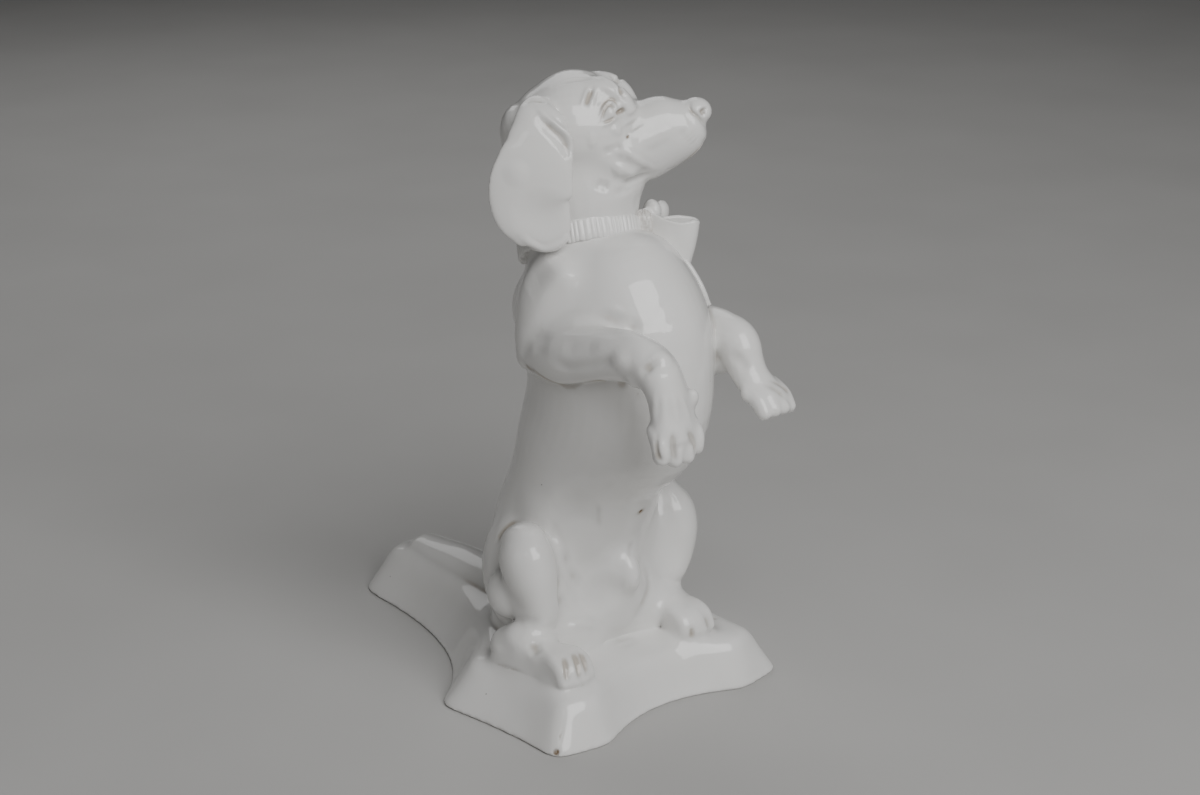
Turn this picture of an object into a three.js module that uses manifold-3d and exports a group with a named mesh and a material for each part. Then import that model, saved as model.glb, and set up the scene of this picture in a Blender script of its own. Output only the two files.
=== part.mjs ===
import * as THREE from "three";
import { mergeVertices } from "three/addons/utils/BufferGeometryUtils.js";
import Module from "manifold-3d";

const wasm = await Module();
wasm.setup();

// All sizes are in millimetres.
// The dog sits up facing -Y with its left side on +X, and its plinth stands on the XY plane.

// Seam of slip left between two pieces that are luted together.
const SEAM = 0.3;

// Plinth with five blunt corners, hollow sides between them and walls that lean inwards.
const PLINTH_HEIGHT = 29.5;
const PLINTH_HALF_WIDTH = 98;
const PLINTH_ASIDE = -4;
const PLINTH_FRONT = 57;
const PLINTH_SHOULDER = 48;
const FRONT_CORNER_INNER = 54;
const FRONT_CORNER_OUTER = 91;
const FRONT_CORNER_SWEEP = 7;
const FRONT_HOLLOW = 34;
const SIDE_HOLLOW = 9;
const TAIL_ARM_REACH = 220;
const TAIL_ARM_HALF_WIDTH = 37;
const WALL_LEAN = 18.5;
const END_LEAN = 11;
const FLANK_CORNER = 8;
const TAIL_ARM_WAIST = 5;
const PLINTH_EDGE = 3;
const FOOT_RIM = 9;
const FOOT_RECESS = 1.5;

// Torso, a barrel that rises from the plinth and leans towards the chest.
const TORSO_HEIGHT = 252;
const CHEST_HALF_WIDTH = 50;
const CHEST_HALF_DEPTH = 60;
const RUMP_BACK = 48;

// Head on its neck, turned to the dog's left.
const HEAD_TURN = 49;
const NECK_BACK = 34;
const NECK_ASIDE = -2;
const NECK_RADIUS = 33.5;
const SKULL_HALF_WIDTH = 33;
const SKULL_HEIGHT = 63;
const MUZZLE_REACH = 69;
const MUZZLE_HALF_WIDTH = 16;
const EYE_RADIUS = 6;
const NOSE_HALF_WIDTH = 8.5;
const LIP_LINE = 1;

// Ears, two hanging flaps.
const EAR_LENGTH = 92;
const EAR_HALF_WIDTH = 24;
const EAR_HALF_THICKNESS = 4.4;
const EAR_LAG = 10;

// Ribbon: a pleated collar, a knot, two loops and two hanging ends.
const COLLAR_HEIGHT = 12.5;
const COLLAR_THICKNESS = 3;
const COLLAR_TILT = 20;
const COLLAR_TILT_SIDE = 8;
const PLEATS = 44;
const PLEAT_DEPTH = 0.9;
const RIBBON_WIDTH = 21;
const RIBBON_THICKNESS = 2.6;
const KNOT_RADIUS = 8;
const LOOP_REACH = 31;
const LOOP_HALF_DEPTH = 8;

// Limbs and tail.
const UPPER_ARM_RADIUS = 20;
const ELBOW_BACK = 16;
const FOREARM_LENGTH = 82;
const FOREARM_RADIUS = 15;
const WRIST_RADIUS = 11.5;
const PAW_LENGTH = 51;
const PAW_HALF_WIDTH = 17.5;
const TOE_RADIUS = 5.6;
const THIGH_HEIGHT = 74;
const THIGH_RADIUS = 21;
const HIND_FOOT_LENGTH = 70;
const HIND_FOOT_HALF_WIDTH = 14;
const HIND_FOOT_HEIGHT = 11;
const TAIL_HALF_WIDTH = 17;
const TAIL_HEIGHT = 12;

const CERAMIC = { color: 0xe9e6df, roughness: 0.16, metalness: 0 };
const UP = new THREE.Vector3(0, 0, 1);
const AHEAD = new THREE.Vector3(0, -1, 0);
const at = (x, y, z) => new THREE.Vector3(x, y, z);
const times = (size, ...parts) => parts.map((part) => part * size);

// A closed body from a surface of triangles.
function body(geometry) {
  geometry.deleteAttribute("normal");
  geometry.deleteAttribute("uv");
  const merged = mergeVertices(geometry, 1e-4);
  const vertProperties = Float32Array.from(merged.attributes.position.array);
  const triVerts = Uint32Array.from(merged.index.array);
  return new wasm.Manifold(new wasm.Mesh({ numProp: 3, vertProperties, triVerts }));
}

// The wall between rings of points, each ring with as many points as the next.
function wall(rings, from) {
  const sides = rings[0].length;
  const index = [];
  for (let i = 0; i + 1 < rings.length; i += 1) {
    for (let j = 0; j < sides; j += 1) {
      const k = (j + 1) % sides;
      const low = from + i * sides;
      const high = low + sides;
      index.push(low + j, low + k, high + k, low + j, high + k, high + j);
    }
  }
  return index;
}

// Rings closed by a point at each end.
function skin(rings, first, last) {
  const sides = rings[0].length;
  const points = [first, ...rings.flat(), last];
  const index = wall(rings, 1);
  const end = 1 + (rings.length - 1) * sides;
  for (let j = 0; j < sides; j += 1) {
    const k = (j + 1) % sides;
    index.push(0, 1 + k, 1 + j, points.length - 1, end + j, end + k);
  }
  const geometry = new THREE.BufferGeometry().setFromPoints(points);
  geometry.setIndex(index);
  return body(geometry);
}

// Rings closed by a flat lid at each end.
function stack(rings) {
  const index = wall(rings, 0);
  const top = (rings.length - 1) * rings[0].length;
  const lid = (ring) => THREE.ShapeUtils.triangulateShape(ring.map((p) => new THREE.Vector2(p.x, p.y)), []);
  lid(rings[0]).forEach(([a, b, c]) => index.push(a, c, b));
  lid(rings.at(-1)).forEach(([a, b, c]) => index.push(top + a, top + b, top + c));
  const geometry = new THREE.BufferGeometry().setFromPoints(rings.flat());
  geometry.setIndex(index);
  return body(geometry);
}

// A point on an oval section that stands square to a curved line.
function tube({ line, wide, fore, aft = fore, face }) {
  const spine = new THREE.CatmullRomCurve3(line);
  const halves = wide.map((w, i) => at(w, fore[i], aft[i]));
  const girth = new THREE.CatmullRomCurve3(halves, false, "catmullrom", 0.5);
  return (t, angle, grow = 0, shrink = 1, push = 0) => {
    const along = spine.getTangent(t);
    const front = face.clone().addScaledVector(along, -face.dot(along)).normalize();
    const side = new THREE.Vector3().crossVectors(along, front);
    const half = girth.getPoint(t).addScalar(grow).multiplyScalar(shrink);
    const reach = Math.cos(angle) > 0 ? half.y : half.z;
    const point = spine.getPoint(t).addScaledVector(along, push);
    point.addScaledVector(front, Math.cos(angle) * reach);
    return point.addScaledVector(side, Math.sin(angle) * half.x);
  };
}

// A tube closed by a dome at each end.
function loft(shape, grow = 0) {
  const { line, wide, fore, domes = [0.6, 0.6], sides = 16, steps = 2 } = shape;
  const point = tube(shape);
  const ring = (t, shrink, push) => Array.from({ length: sides }, (_, j) =>
    point(t, (2 * Math.PI * j) / sides, grow, shrink, push));
  const rounding = times(Math.PI / 180, 65, 33);
  const depths = [0, -1].map((end, i) => domes[i] * Math.min(wide.at(end), fore.at(end)) + grow);
  const count = (line.length - 1) * steps;
  const rings = [
    ...rounding.map((a) => ring(0, Math.cos(a), -Math.sin(a) * depths[0])),
    ...Array.from({ length: count + 1 }, (_, i) => ring(i / count, 1, 0)),
    ...rounding.toReversed().map((a) => ring(1, Math.cos(a), Math.sin(a) * depths[1])),
  ];
  return skin(rings, point(0, 0, grow, 0, -depths[0]), point(1, 0, grow, 0, depths[1]));
}

// An oval lump of clay.
function pellet(centre, half, grow = 0, turn = [0, 0, 0], detail = [10, 7]) {
  const geometry = new THREE.SphereGeometry(1, ...detail);
  geometry.scale(half[0] + grow, half[1] + grow, half[2] + grow);
  geometry.rotateX(THREE.MathUtils.degToRad(turn[0]));
  geometry.rotateY(THREE.MathUtils.degToRad(turn[1]));
  geometry.rotateZ(THREE.MathUtils.degToRad(turn[2]));
  geometry.translate(centre.x, centre.y, centre.z);
  return body(geometry);
}

const join = (first, ...others) => others.reduce((whole, piece) => whole.add(piece), first);
const cut = (first, ...others) => others.reduce((whole, piece) => whole.subtract(piece), first);

// Plinth: one outline of the plan, drawn in by the lean of the walls.
function plinthRing(lean, z, inset = 0) {
  const side = WALL_LEAN * lean + inset;
  const end = END_LEAN * lean + inset;
  const inner = FRONT_CORNER_INNER + side * 0.17;
  const outer = FRONT_CORNER_OUTER - side * 0.78;
  const front = PLINTH_FRONT - end;
  const facet = PLINTH_FRONT - FRONT_CORNER_SWEEP - end * 1.15;
  const shoulder = PLINTH_SHOULDER - side * 0.45;
  const flank = PLINTH_HALF_WIDTH - side;
  const arm = TAIL_ARM_HALF_WIDTH - side * 1.05;
  const tip = TAIL_ARM_REACH - end * 0.8;
  const bay = shoulder * 0.9 + TAIL_ARM_REACH * 0.22;
  const corner = FLANK_CORNER / 2;
  const shape = new THREE.Shape();
  shape.moveTo(inner, -front);
  shape.lineTo(outer, -facet);
  shape.quadraticCurveTo(flank - SIDE_HOLLOW, -facet * 0.1, flank + corner * 0.25, shoulder - corner);
  shape.lineTo(flank - corner * 0.5, shoulder + corner);
  shape.quadraticCurveTo(arm - TAIL_ARM_WAIST, bay, arm, tip);
  shape.lineTo(-arm, tip);
  shape.quadraticCurveTo(TAIL_ARM_WAIST - arm, bay, corner * 0.5 - flank, shoulder + corner);
  shape.lineTo(-flank - corner * 0.25, shoulder - corner);
  shape.quadraticCurveTo(SIDE_HOLLOW - flank, -facet * 0.1, -outer, -facet);
  shape.lineTo(-inner, -front);
  shape.quadraticCurveTo(0, FRONT_HOLLOW + side - PLINTH_FRONT, inner, -front);
  const points = shape.getPoints(8).slice(0, -1);
  return points.map((p) => at(p.x + PLINTH_ASIDE, p.y, z));
}

function plinth() {
  const low = PLINTH_EDGE / PLINTH_HEIGHT;
  const block = stack([
    plinthRing(0, 0, PLINTH_EDGE * 0.6),
    plinthRing(low * 0.3, PLINTH_EDGE * 0.4, PLINTH_EDGE * 0.1),
    plinthRing(low, PLINTH_EDGE),
    plinthRing(1 - low, PLINTH_HEIGHT - PLINTH_EDGE),
    plinthRing(1 - low * 0.3, PLINTH_HEIGHT - PLINTH_EDGE * 0.35, PLINTH_EDGE * 0.25),
    plinthRing(1, PLINTH_HEIGHT, PLINTH_EDGE),
  ]);
  const recess = stack([plinthRing(0, -FOOT_RECESS, FOOT_RIM), plinthRing(0, FOOT_RECESS, FOOT_RIM)]);
  return cut(block, recess);
}

// What sits on the plinth is cut flat one seam above it.
const SEAT = PLINTH_HEIGHT + SEAM;
function ground() {
  const slab = new THREE.BoxGeometry(TAIL_ARM_REACH * 4, TAIL_ARM_REACH * 4, TORSO_HEIGHT);
  slab.translate(0, 0, SEAT - TORSO_HEIGHT / 2);
  return body(slab);
}

// Torso: the belly's sections rise with the torso's height, and the chest's hang from its top.
const torsoRise = (h) => SEAT + TORSO_HEIGHT * h;
const chestDrop = (d) => SEAT + TORSO_HEIGHT - CHEST_HALF_DEPTH * d;
const torsoShape = {
  line: [
    ...[[0, 0.98], [0.12, 1], [0.25, 0.94], [0.37, 0.74], [0.48, 0.5]]
      .map(([h, back]) => at(0, RUMP_BACK * back, torsoRise(h))),
    ...[[1.66, 0.16], [1.24, 0.08], [0.8, 0.1], [0.46, 0.22], [0.21, 0.42]]
      .map(([d, back]) => at(0, RUMP_BACK * back, chestDrop(d))),
  ],
  wide: times(CHEST_HALF_WIDTH, 1, 1.08, 0.98, 0.9, 0.92, 0.97, 1, 0.97, 0.87, 0.68),
  fore: times(CHEST_HALF_DEPTH, 0.74, 0.78, 0.78, 0.79, 0.83, 1.03, 1.02, 0.97, 0.82, 0.6),
  aft: times(CHEST_HALF_DEPTH, 0.74, 0.82, 0.8, 0.76, 0.84, 0.98, 1.04, 1.05, 0.97, 0.74),
  face: AHEAD,
  domes: [0.1, 0.1],
  sides: 24,
};

// Lumps laid on the barrel: the sheath, the belly's end, a skirt each side of it, the haunches and the nape.
function torso(grow) {
  const lump = (out, back, z, half, lean = 0) => {
    const centre = at(CHEST_HALF_WIDTH * out, RUMP_BACK * back, z);
    return pellet(centre, times(CHEST_HALF_WIDTH, ...half), grow, [lean, 0, 0], [9, 6]);
  };
  const sheath = lump(0, -0.06, torsoRise(0.183), [0.17, 0.24, 0.3], -10);
  const bellyEnd = lump(0, 0.35, torsoRise(0.11), [0.54, 0.5, 0.58]);
  const skirts = [-0.56, 0.46].map((out) => lump(out, 0.38, torsoRise(0.045), [0.56, 0.44, 0.38]));
  const haunches = [-0.72, 0.72].map((out) => lump(out, 0.88, torsoRise(0.16), [0.52, 0.72, 0.88]));
  const nape = lump(-0.05, 0.72, chestDrop(0.53), [0.79, 0.78, 0.44]);
  return join(loft(torsoShape, grow), sheath, bellyEnd, ...skirts, ...haunches, nape);
}

// Head and neck, modelled looking along -Y over the neck and then turned.
const NECK_SEAT = chestDrop(0.084);
const turn = new THREE.Matrix4().makeRotationZ(THREE.MathUtils.degToRad(HEAD_TURN));
turn.setPosition(NECK_ASIDE, NECK_BACK, NECK_SEAT);
const turned = (piece) => piece.transform(turn.elements);
const bothSides = (p) => [p, at(-p.x, p.y, p.z)];

const neckShape = {
  line: [[-0.1, -0.12, -0.72], [0, 0.06, -0.12], [0, 0.06, 0.42], [0, 0.12, 0.9], [0, 0.18, 1.43]]
    .map((p) => at(...times(NECK_RADIUS, ...p))),
  wide: times(NECK_RADIUS, 0.95, 0.98, 0.96, 0.98, 0.9),
  fore: times(NECK_RADIUS, 0.95, 0.98, 1, 1.06, 0.9),
  aft: times(NECK_RADIUS, 0.95, 1, 1.06, 1.14, 1),
  face: AHEAD,
  domes: [0.2, 0.6],
  sides: 22,
};
const skullShape = {
  line: [[-0.48, 0.94], [-0.34, 0.97], [-0.12, 1], [0.14, 1], [0.34, 0.98], [0.48, 0.98], [0.66, 1.02],
    [0.85, 1.06], [0.94, 1.08]].map(([ahead, rise]) => at(0, -MUZZLE_REACH * ahead, SKULL_HEIGHT * rise)),
  wide: [...times(SKULL_HALF_WIDTH, 0.62, 0.9, 1, 0.95, 0.78, 0.62),
    ...times(MUZZLE_HALF_WIDTH, 1.04, 0.9, 0.72)],
  fore: times(SKULL_HEIGHT, 0.32, 0.42, 0.55, 0.54, 0.43, 0.35, 0.32, 0.28, 0.22),
  aft: times(SKULL_HEIGHT, 0.38, 0.44, 0.48, 0.48, 0.49, 0.46, 0.4, 0.32, 0.24),
  face: UP,
  domes: [0.7, 0.5],
  sides: 20,
};
const EYE = at(-SKULL_HALF_WIDTH * 0.7, -MUZZLE_REACH * 0.22, SKULL_HEIGHT * 1.2);
const NOSE = at(0, -MUZZLE_REACH * 0.95, SKULL_HEIGHT * 1.19);

function head(grow) {
  const round = [EYE_RADIUS, EYE_RADIUS * 1.1, EYE_RADIUS * 0.8];
  const eyes = bothSides(EYE).map((p) => pellet(p, round, grow));
  const brow = at(EYE.x * 0.82, EYE.y + EYE_RADIUS * 0.17, EYE.z + EYE_RADIUS * 1.5);
  const brows = bothSides(brow).map((p) => pellet(p, times(EYE_RADIUS, 1.33, 1.5, 1), grow));
  const nose = pellet(NOSE, times(NOSE_HALF_WIDTH, 1, 1, 0.85), grow, [0, 0, 0], [12, 8]);
  return join(loft(skullShape, grow), loft(neckShape, grow), nose, ...eyes, ...brows);
}

// Nostrils, the lip line and the lids are pressed into the soft clay.
function pressedFace(piece) {
  const nostril = NOSE.clone().add(at(...times(NOSE_HALF_WIDTH, -0.5, -0.75, -0.06)));
  const slit = times(NOSE_HALF_WIDTH, 0.24, 0.4, 0.26);
  const nostrils = bothSides(nostril).map((p) => pellet(p, slit, 0, [0, 0, 20]));
  const skinAt = tube(skullShape);
  const lips = [-1, 1].map((side) => loft({
    line: [[0.62, 104], [0.74, 112], [0.86, 118], [0.97, 116]]
      .map(([t, degrees]) => skinAt(t, -side * THREE.MathUtils.degToRad(degrees))),
    wide: times(LIP_LINE, 0.6, 1, 1, 0.6),
    fore: times(LIP_LINE, 0.8, 1.2, 1.2, 0.8),
    face: at(side, 0, 0),
    sides: 6,
  }));
  const lids = bothSides(EYE).map((p) => loft({
    line: [-0.95, -0.35, 0.35, 0.95].map((k) => at(
      p.x + Math.sign(p.x) * EYE_RADIUS * (0.8 - 0.43 * k * k),
      p.y - EYE_RADIUS * k,
      p.z + EYE_RADIUS * (0.6 - 0.5 * k * k))),
    wide: times(EYE_RADIUS, 0.1, 0.15, 0.15, 0.1),
    fore: times(EYE_RADIUS, 0.1, 0.15, 0.15, 0.1),
    face: at(p.x, 0, 0).normalize(),
    sides: 6,
  }));
  return cut(piece, ...nostrils, ...lips, ...lids);
}

// Ears: each section's drop is a part of the ear's length, its set-back and reach parts of the skull's width.
function ear(side, lag, grow) {
  const drop = (k) => SKULL_HEIGHT * 1.45 - lag * 0.8 - EAR_LENGTH * k;
  return turned(loft({
    line: [[0.04, 0.79, 0.61], [0.16, 0.73, 1], [0.32, 0.82, 1.21], [0.5, 0.91, 1.3], [0.68, 0.88, 1.3],
      [0.84, 0.7, 1.27], [0.95, 0.61, 1.24]]
      .map(([k, back, out]) =>
        at(side * SKULL_HALF_WIDTH * out, SKULL_HALF_WIDTH * back - lag * k, drop(k))),
    wide: times(EAR_HALF_WIDTH, 0.3, 0.64, 0.88, 1, 0.96, 0.76, 0.46),
    fore: times(EAR_HALF_THICKNESS, 1, 1.2, 1.05, 1, 1, 0.9, 0.8),
    face: at(side, 0, 0.1).normalize(),
    domes: [0.8, 1.2],
    sides: 14,
  }, grow));
}

const earRight = (grow) => ear(-1, 0, grow);
const earLeft = (grow) => ear(1, EAR_LAG, grow);

// Forelegs: an upper arm laid on the chest, and a forearm that bends at the wrist into a hanging paw.
const SHOULDER = chestDrop(0.6);
const ELBOW = chestDrop(1.13);
const CHEST_SIDE = CHEST_HALF_WIDTH * 0.84;

function toes(from, to, count, half, grow, turnX) {
  return Array.from({ length: count }, (_, i) =>
    pellet(from.clone().lerp(to, i / (count - 1)), half, grow, [turnX, 0, 0], [8, 5]));
}

function upperArm(side, grow) {
  const along = (out, back, z) => at(side * CHEST_SIDE * out, UPPER_ARM_RADIUS * back, z);
  return loft({
    line: [along(1, 0.4, SHOULDER), along(1.08, 0.75, SHOULDER - UPPER_ARM_RADIUS),
      along(1.1, 0.7, ELBOW + UPPER_ARM_RADIUS * 0.3)],
    wide: times(UPPER_ARM_RADIUS, 0.8, 0.8, 0.7),
    fore: times(UPPER_ARM_RADIUS, 1, 1, 0.8),
    face: AHEAD,
    sides: 12,
  }, grow);
}

// The forearm's points are set out from the elbow by its length, and the paw's hang from the wrist.
const RIGHT_POSE = {
  side: -1,
  arm: [[1.1, 0, 0.05], [1.16, 0.34, 0.13], [1.12, 0.73, 0.23], [1.04, 1, 0.28]],
  paw: [[1, 0.25, 0.24], [0.96, 0.39, 0.55], [0.95, 0.43, 0.76]],
  tips: [0.95, 0.47, 0.88],
  pawWide: [0.82, 1],
  pawDeep: [0.57, 0.51],
  armDeep: [1, 1.02, 1],
  wristDeep: [1.15, 0.95],
  face: at(0.1, -0.5, 0.86).normalize(),
  toe: [1, 1.2, 1.6],
  toeTurn: 0,
};
const LEFT_POSE = {
  side: 1,
  arm: [[1.1, 0, 0.05], [1.1, 0.32, 0.11], [0.98, 0.61, 0.15], [0.84, 0.83, 0.1]],
  paw: [[0.8, 0.2, 0.24], [0.8, 0.45, 0.39], [0.8, 0.59, 0.47]],
  tips: [0.8, 0.67, 0.51],
  pawWide: [0.8, 0.9],
  pawDeep: [0.51, 0.46],
  armDeep: [1, 0.95, 0.9],
  wristDeep: [1, 0.85],
  face: at(-0.1, -0.4, 0.9).normalize(),
  toe: [1, 1.6, 1.2],
  toeTurn: 20,
};

function foreleg(pose, grow) {
  const x = pose.side * CHEST_SIDE;
  const arm = pose.arm.map(([out, ahead, rise]) =>
    at(x * out, ELBOW_BACK - FOREARM_LENGTH * ahead, ELBOW + FOREARM_LENGTH * rise));
  const wrist = arm.at(-1);
  const hang = ([out, ahead, drop]) => at(x * out, wrist.y - PAW_LENGTH * ahead, wrist.z - PAW_LENGTH * drop);
  const limb = loft({
    line: [...arm, ...pose.paw.map(hang)],
    wide: [...times(FOREARM_RADIUS, 1, 1, 0.95), ...times(WRIST_RADIUS, 1.1, 1),
      ...times(PAW_HALF_WIDTH, ...pose.pawWide)],
    fore: [...times(FOREARM_RADIUS, ...pose.armDeep), ...times(WRIST_RADIUS, ...pose.wristDeep),
      ...times(PAW_HALF_WIDTH, ...pose.pawDeep)],
    face: pose.face,
    domes: [0.8, 0.5],
  }, grow);
  const row = PAW_HALF_WIDTH - TOE_RADIUS * 0.8;
  const tip = hang(pose.tips);
  const half = times(TOE_RADIUS, ...pose.toe);
  const inner = tip.clone().setX(tip.x - row);
  const outer = tip.clone().setX(tip.x + row);
  const ends = toes(inner, outer, 4, half, grow, pose.toeTurn);
  return join(upperArm(pose.side, grow), limb, ...ends);
}

const forelegRight = (grow) => foreleg(RIGHT_POSE, grow);
const forelegLeft = (grow) => foreleg(LEFT_POSE, grow);

// Hind legs: a folded thigh against the rump and a long foot laid forward on the plinth.
const THIGH_BACK = RUMP_BACK * 0.42;

function thigh(x, grow) {
  const along = (out, back, rise) =>
    at(x * out, THIGH_BACK + THIGH_RADIUS * back, SEAT + THIGH_HEIGHT * rise);
  const folded = loft({
    line: [along(0.8, 0.28, 1.06), along(0.97, -0.1, 0.87), along(1.02, -0.34, 0.68), along(1.03, -0.39, 0.5),
      along(1.02, -0.39, 0.35)],
    wide: times(THIGH_RADIUS, 0.76, 0.93, 0.95, 0.86, 0.71),
    fore: times(THIGH_RADIUS, 0.81, 1.14, 1.19, 0.95, 0.76),
    aft: times(THIGH_RADIUS, 0.81, 1.14, 1.1, 0.95, 0.86),
    face: AHEAD,
    domes: [0.75, 0.6],
    sides: 14,
  }, grow);
  const calf = pellet(along(1.06, 0.6, 0.45), times(THIGH_RADIUS, 0.71, 0.62, 0.8), grow, [12, 0, 0]);
  return join(folded, calf);
}

const thighRight = (grow) => thigh(-CHEST_HALF_WIDTH * 1.22, grow);
const thighLeft = (grow) => thigh(CHEST_HALF_WIDTH, grow);

function hindFoot(heel, aim, grow) {
  const ahead = at(Math.sin(THREE.MathUtils.degToRad(aim)), -Math.cos(THREE.MathUtils.degToRad(aim)), 0);
  const along = (k, rise) =>
    heel.clone().addScaledVector(ahead, HIND_FOOT_LENGTH * k).setZ(SEAT + HIND_FOOT_HEIGHT * rise);
  const limb = loft({
    line: [along(0.1, 0.82), along(0.38, 0.91), along(0.68, 0.91), along(0.86, 0.73)],
    wide: times(HIND_FOOT_HALF_WIDTH, 0.9, 0.85, 0.95, 0.9),
    fore: times(HIND_FOOT_HEIGHT, 1.09, 1, 0.91, 0.73),
    face: UP,
    domes: [0.7, 0.5],
  }, grow);
  const across = at(-ahead.y, ahead.x, 0).multiplyScalar(HIND_FOOT_HALF_WIDTH - TOE_RADIUS * 0.8);
  const tip = along(0.92, 0.56);
  const half = [TOE_RADIUS, TOE_RADIUS * 1.6, TOE_RADIUS * 1.3];
  return join(limb, ...toes(tip.clone().sub(across), tip.clone().add(across), 4, half, grow, 0));
}

// Tail, laid along the tail arm of the plinth.
function tail(grow) {
  const along = (aside, y, rise) => at(PLINTH_ASIDE * aside, y, SEAT + TAIL_HEIGHT * rise);
  return loft({
    line: [along(0.5, RUMP_BACK * 1.7, 0.67), along(0.7, RUMP_BACK * 2.5, 0),
      along(1, TAIL_ARM_REACH * 0.73, 0), along(1, TAIL_ARM_REACH * 0.89, -0.17)],
    wide: times(TAIL_HALF_WIDTH, 1.1, 1.05, 1, 0.8),
    fore: times(TAIL_HEIGHT, 1.1, 1, 0.95, 0.85),
    face: UP,
    domes: [0.4, 0.9],
  }, grow);
}

// Collar: a band of ribbon in small upright pleats, drawn tight round the neck.
const COLLAR_REACH = NECK_RADIUS + COLLAR_THICKNESS;
const tilt = new THREE.Matrix4().makeRotationX(THREE.MathUtils.degToRad(-COLLAR_TILT));
tilt.premultiply(new THREE.Matrix4().makeRotationY(THREE.MathUtils.degToRad(COLLAR_TILT_SIDE)));
tilt.setPosition(NECK_ASIDE, NECK_BACK, NECK_SEAT + COLLAR_HEIGHT * 0.08);

function collar(grow) {
  const pleated = (z, reach) => Array.from({ length: PLEATS * 2 }, (_, j) => {
    const angle = (Math.PI * j) / PLEATS;
    const out = reach + (j % 2) * PLEAT_DEPTH + grow;
    return at(out * Math.sin(angle), -out * Math.cos(angle), z);
  });
  const half = COLLAR_HEIGHT / 2 + grow;
  const band = stack([
    pleated(-half, COLLAR_REACH - COLLAR_THICKNESS * 0.4),
    pleated(-half * 0.75, COLLAR_REACH),
    pleated(half * 0.75, COLLAR_REACH),
    pleated(half, COLLAR_REACH - COLLAR_THICKNESS * 0.4),
  ]);
  return band.transform(tilt.elements);
}

// Bow: the knot under the chin, and two loops of folded ribbon that stand out ahead of it.
const KNOT = at(0, -COLLAR_REACH - KNOT_RADIUS * 0.1, COLLAR_HEIGHT * 0.25);
function knot(grow) {
  return turned(pellet(KNOT, [KNOT_RADIUS, KNOT_RADIUS * 0.9, KNOT_RADIUS * 1.05], grow, [0, 0, 0], [12, 9]));
}

function loop(side, swing, lift, grow) {
  const fold = (inset, height) => {
    const half = (LOOP_HALF_DEPTH - inset) * 1.3;
    const near = -inset * 1.6;
    const far = inset - LOOP_REACH;
    const path = new THREE.Path();
    path.moveTo(half * 0.12, near);
    path.lineTo(-half * 0.12, near);
    path.bezierCurveTo(-half * 0.4, far * 0.4, -half * 1.1, far * 0.5, -half * 0.9, far * 0.85);
    path.bezierCurveTo(-half * 0.7, far * 1.05, half * 0.7, far * 1.05, half * 0.9, far * 0.85);
    path.bezierCurveTo(half * 1.1, far * 0.5, half * 0.4, far * 0.4, half * 0.12, near);
    const points = path.getPoints(7).slice(0, -1);
    const pinch = (y) => 0.55 + 0.45 * Math.min(1, -y / (LOOP_REACH * 0.7));
    return stack([-height, height].map((z) => points.map((p) => at(p.x, p.y, z * pinch(p.y)))));
  };
  const ribbon = cut(fold(-grow, RIBBON_WIDTH / 2 + grow), fold(RIBBON_THICKNESS + grow, RIBBON_WIDTH));
  const stand = new THREE.Matrix4().makeRotationZ(THREE.MathUtils.degToRad(side * swing));
  stand.multiply(new THREE.Matrix4().makeRotationX(THREE.MathUtils.degToRad(-lift)));
  stand.setPosition(KNOT.x + side * KNOT_RADIUS * 0.35, KNOT.y - KNOT_RADIUS * 0.35, KNOT.z);
  return turned(ribbon.transform(stand.elements));
}

// The ribbon's ends lie on the chest, below the bow.
function ribbonEnd(from, to, degrees, grow) {
  const chest = tube(torsoShape);
  const angle = THREE.MathUtils.degToRad(degrees);
  const lie = RIBBON_THICKNESS / 2 + SEAM;
  const reach = Array.from({ length: 5 }, (_, i) => from + ((to - from) * i) / 4);
  return loft({
    line: reach.map((t) => chest(t, angle, lie)),
    wide: times(RIBBON_WIDTH / 2, 0.5, 0.68, 0.75, 0.8, 0.84),
    fore: times(RIBBON_THICKNESS / 2, 1, 1, 1, 1, 1),
    face: at(Math.sin(angle), -Math.cos(angle), 0),
    domes: [0.5, 0.5],
    sides: 12,
  }, grow);
}

const loopRight = (grow) => loop(-1, 22, -4, grow);
const loopLeft = (grow) => loop(1, 40, 6, grow);
const ribbonEndRight = (grow) => ribbonEnd(0.885, 0.74, 43, grow);
const ribbonEndLeft = (grow) => ribbonEnd(0.93, 0.8, 70, grow);

// What a ribbon end lies against.
const onChest = (grow) =>
  join(torso(grow), collar(grow), knot(grow), loopRight(grow), loopLeft(grow), forelegLeft(grow));

const RIGHT_HEEL = at(-PLINTH_HALF_WIDTH * 0.7, RUMP_BACK * 0.66, 0);
const LEFT_HEEL = at(PLINTH_HALF_WIDTH * 0.46, RUMP_BACK * 0.7, 0);
const RIGHT_FOOT_AIM = 4;
const LEFT_FOOT_AIM = -5;

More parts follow.
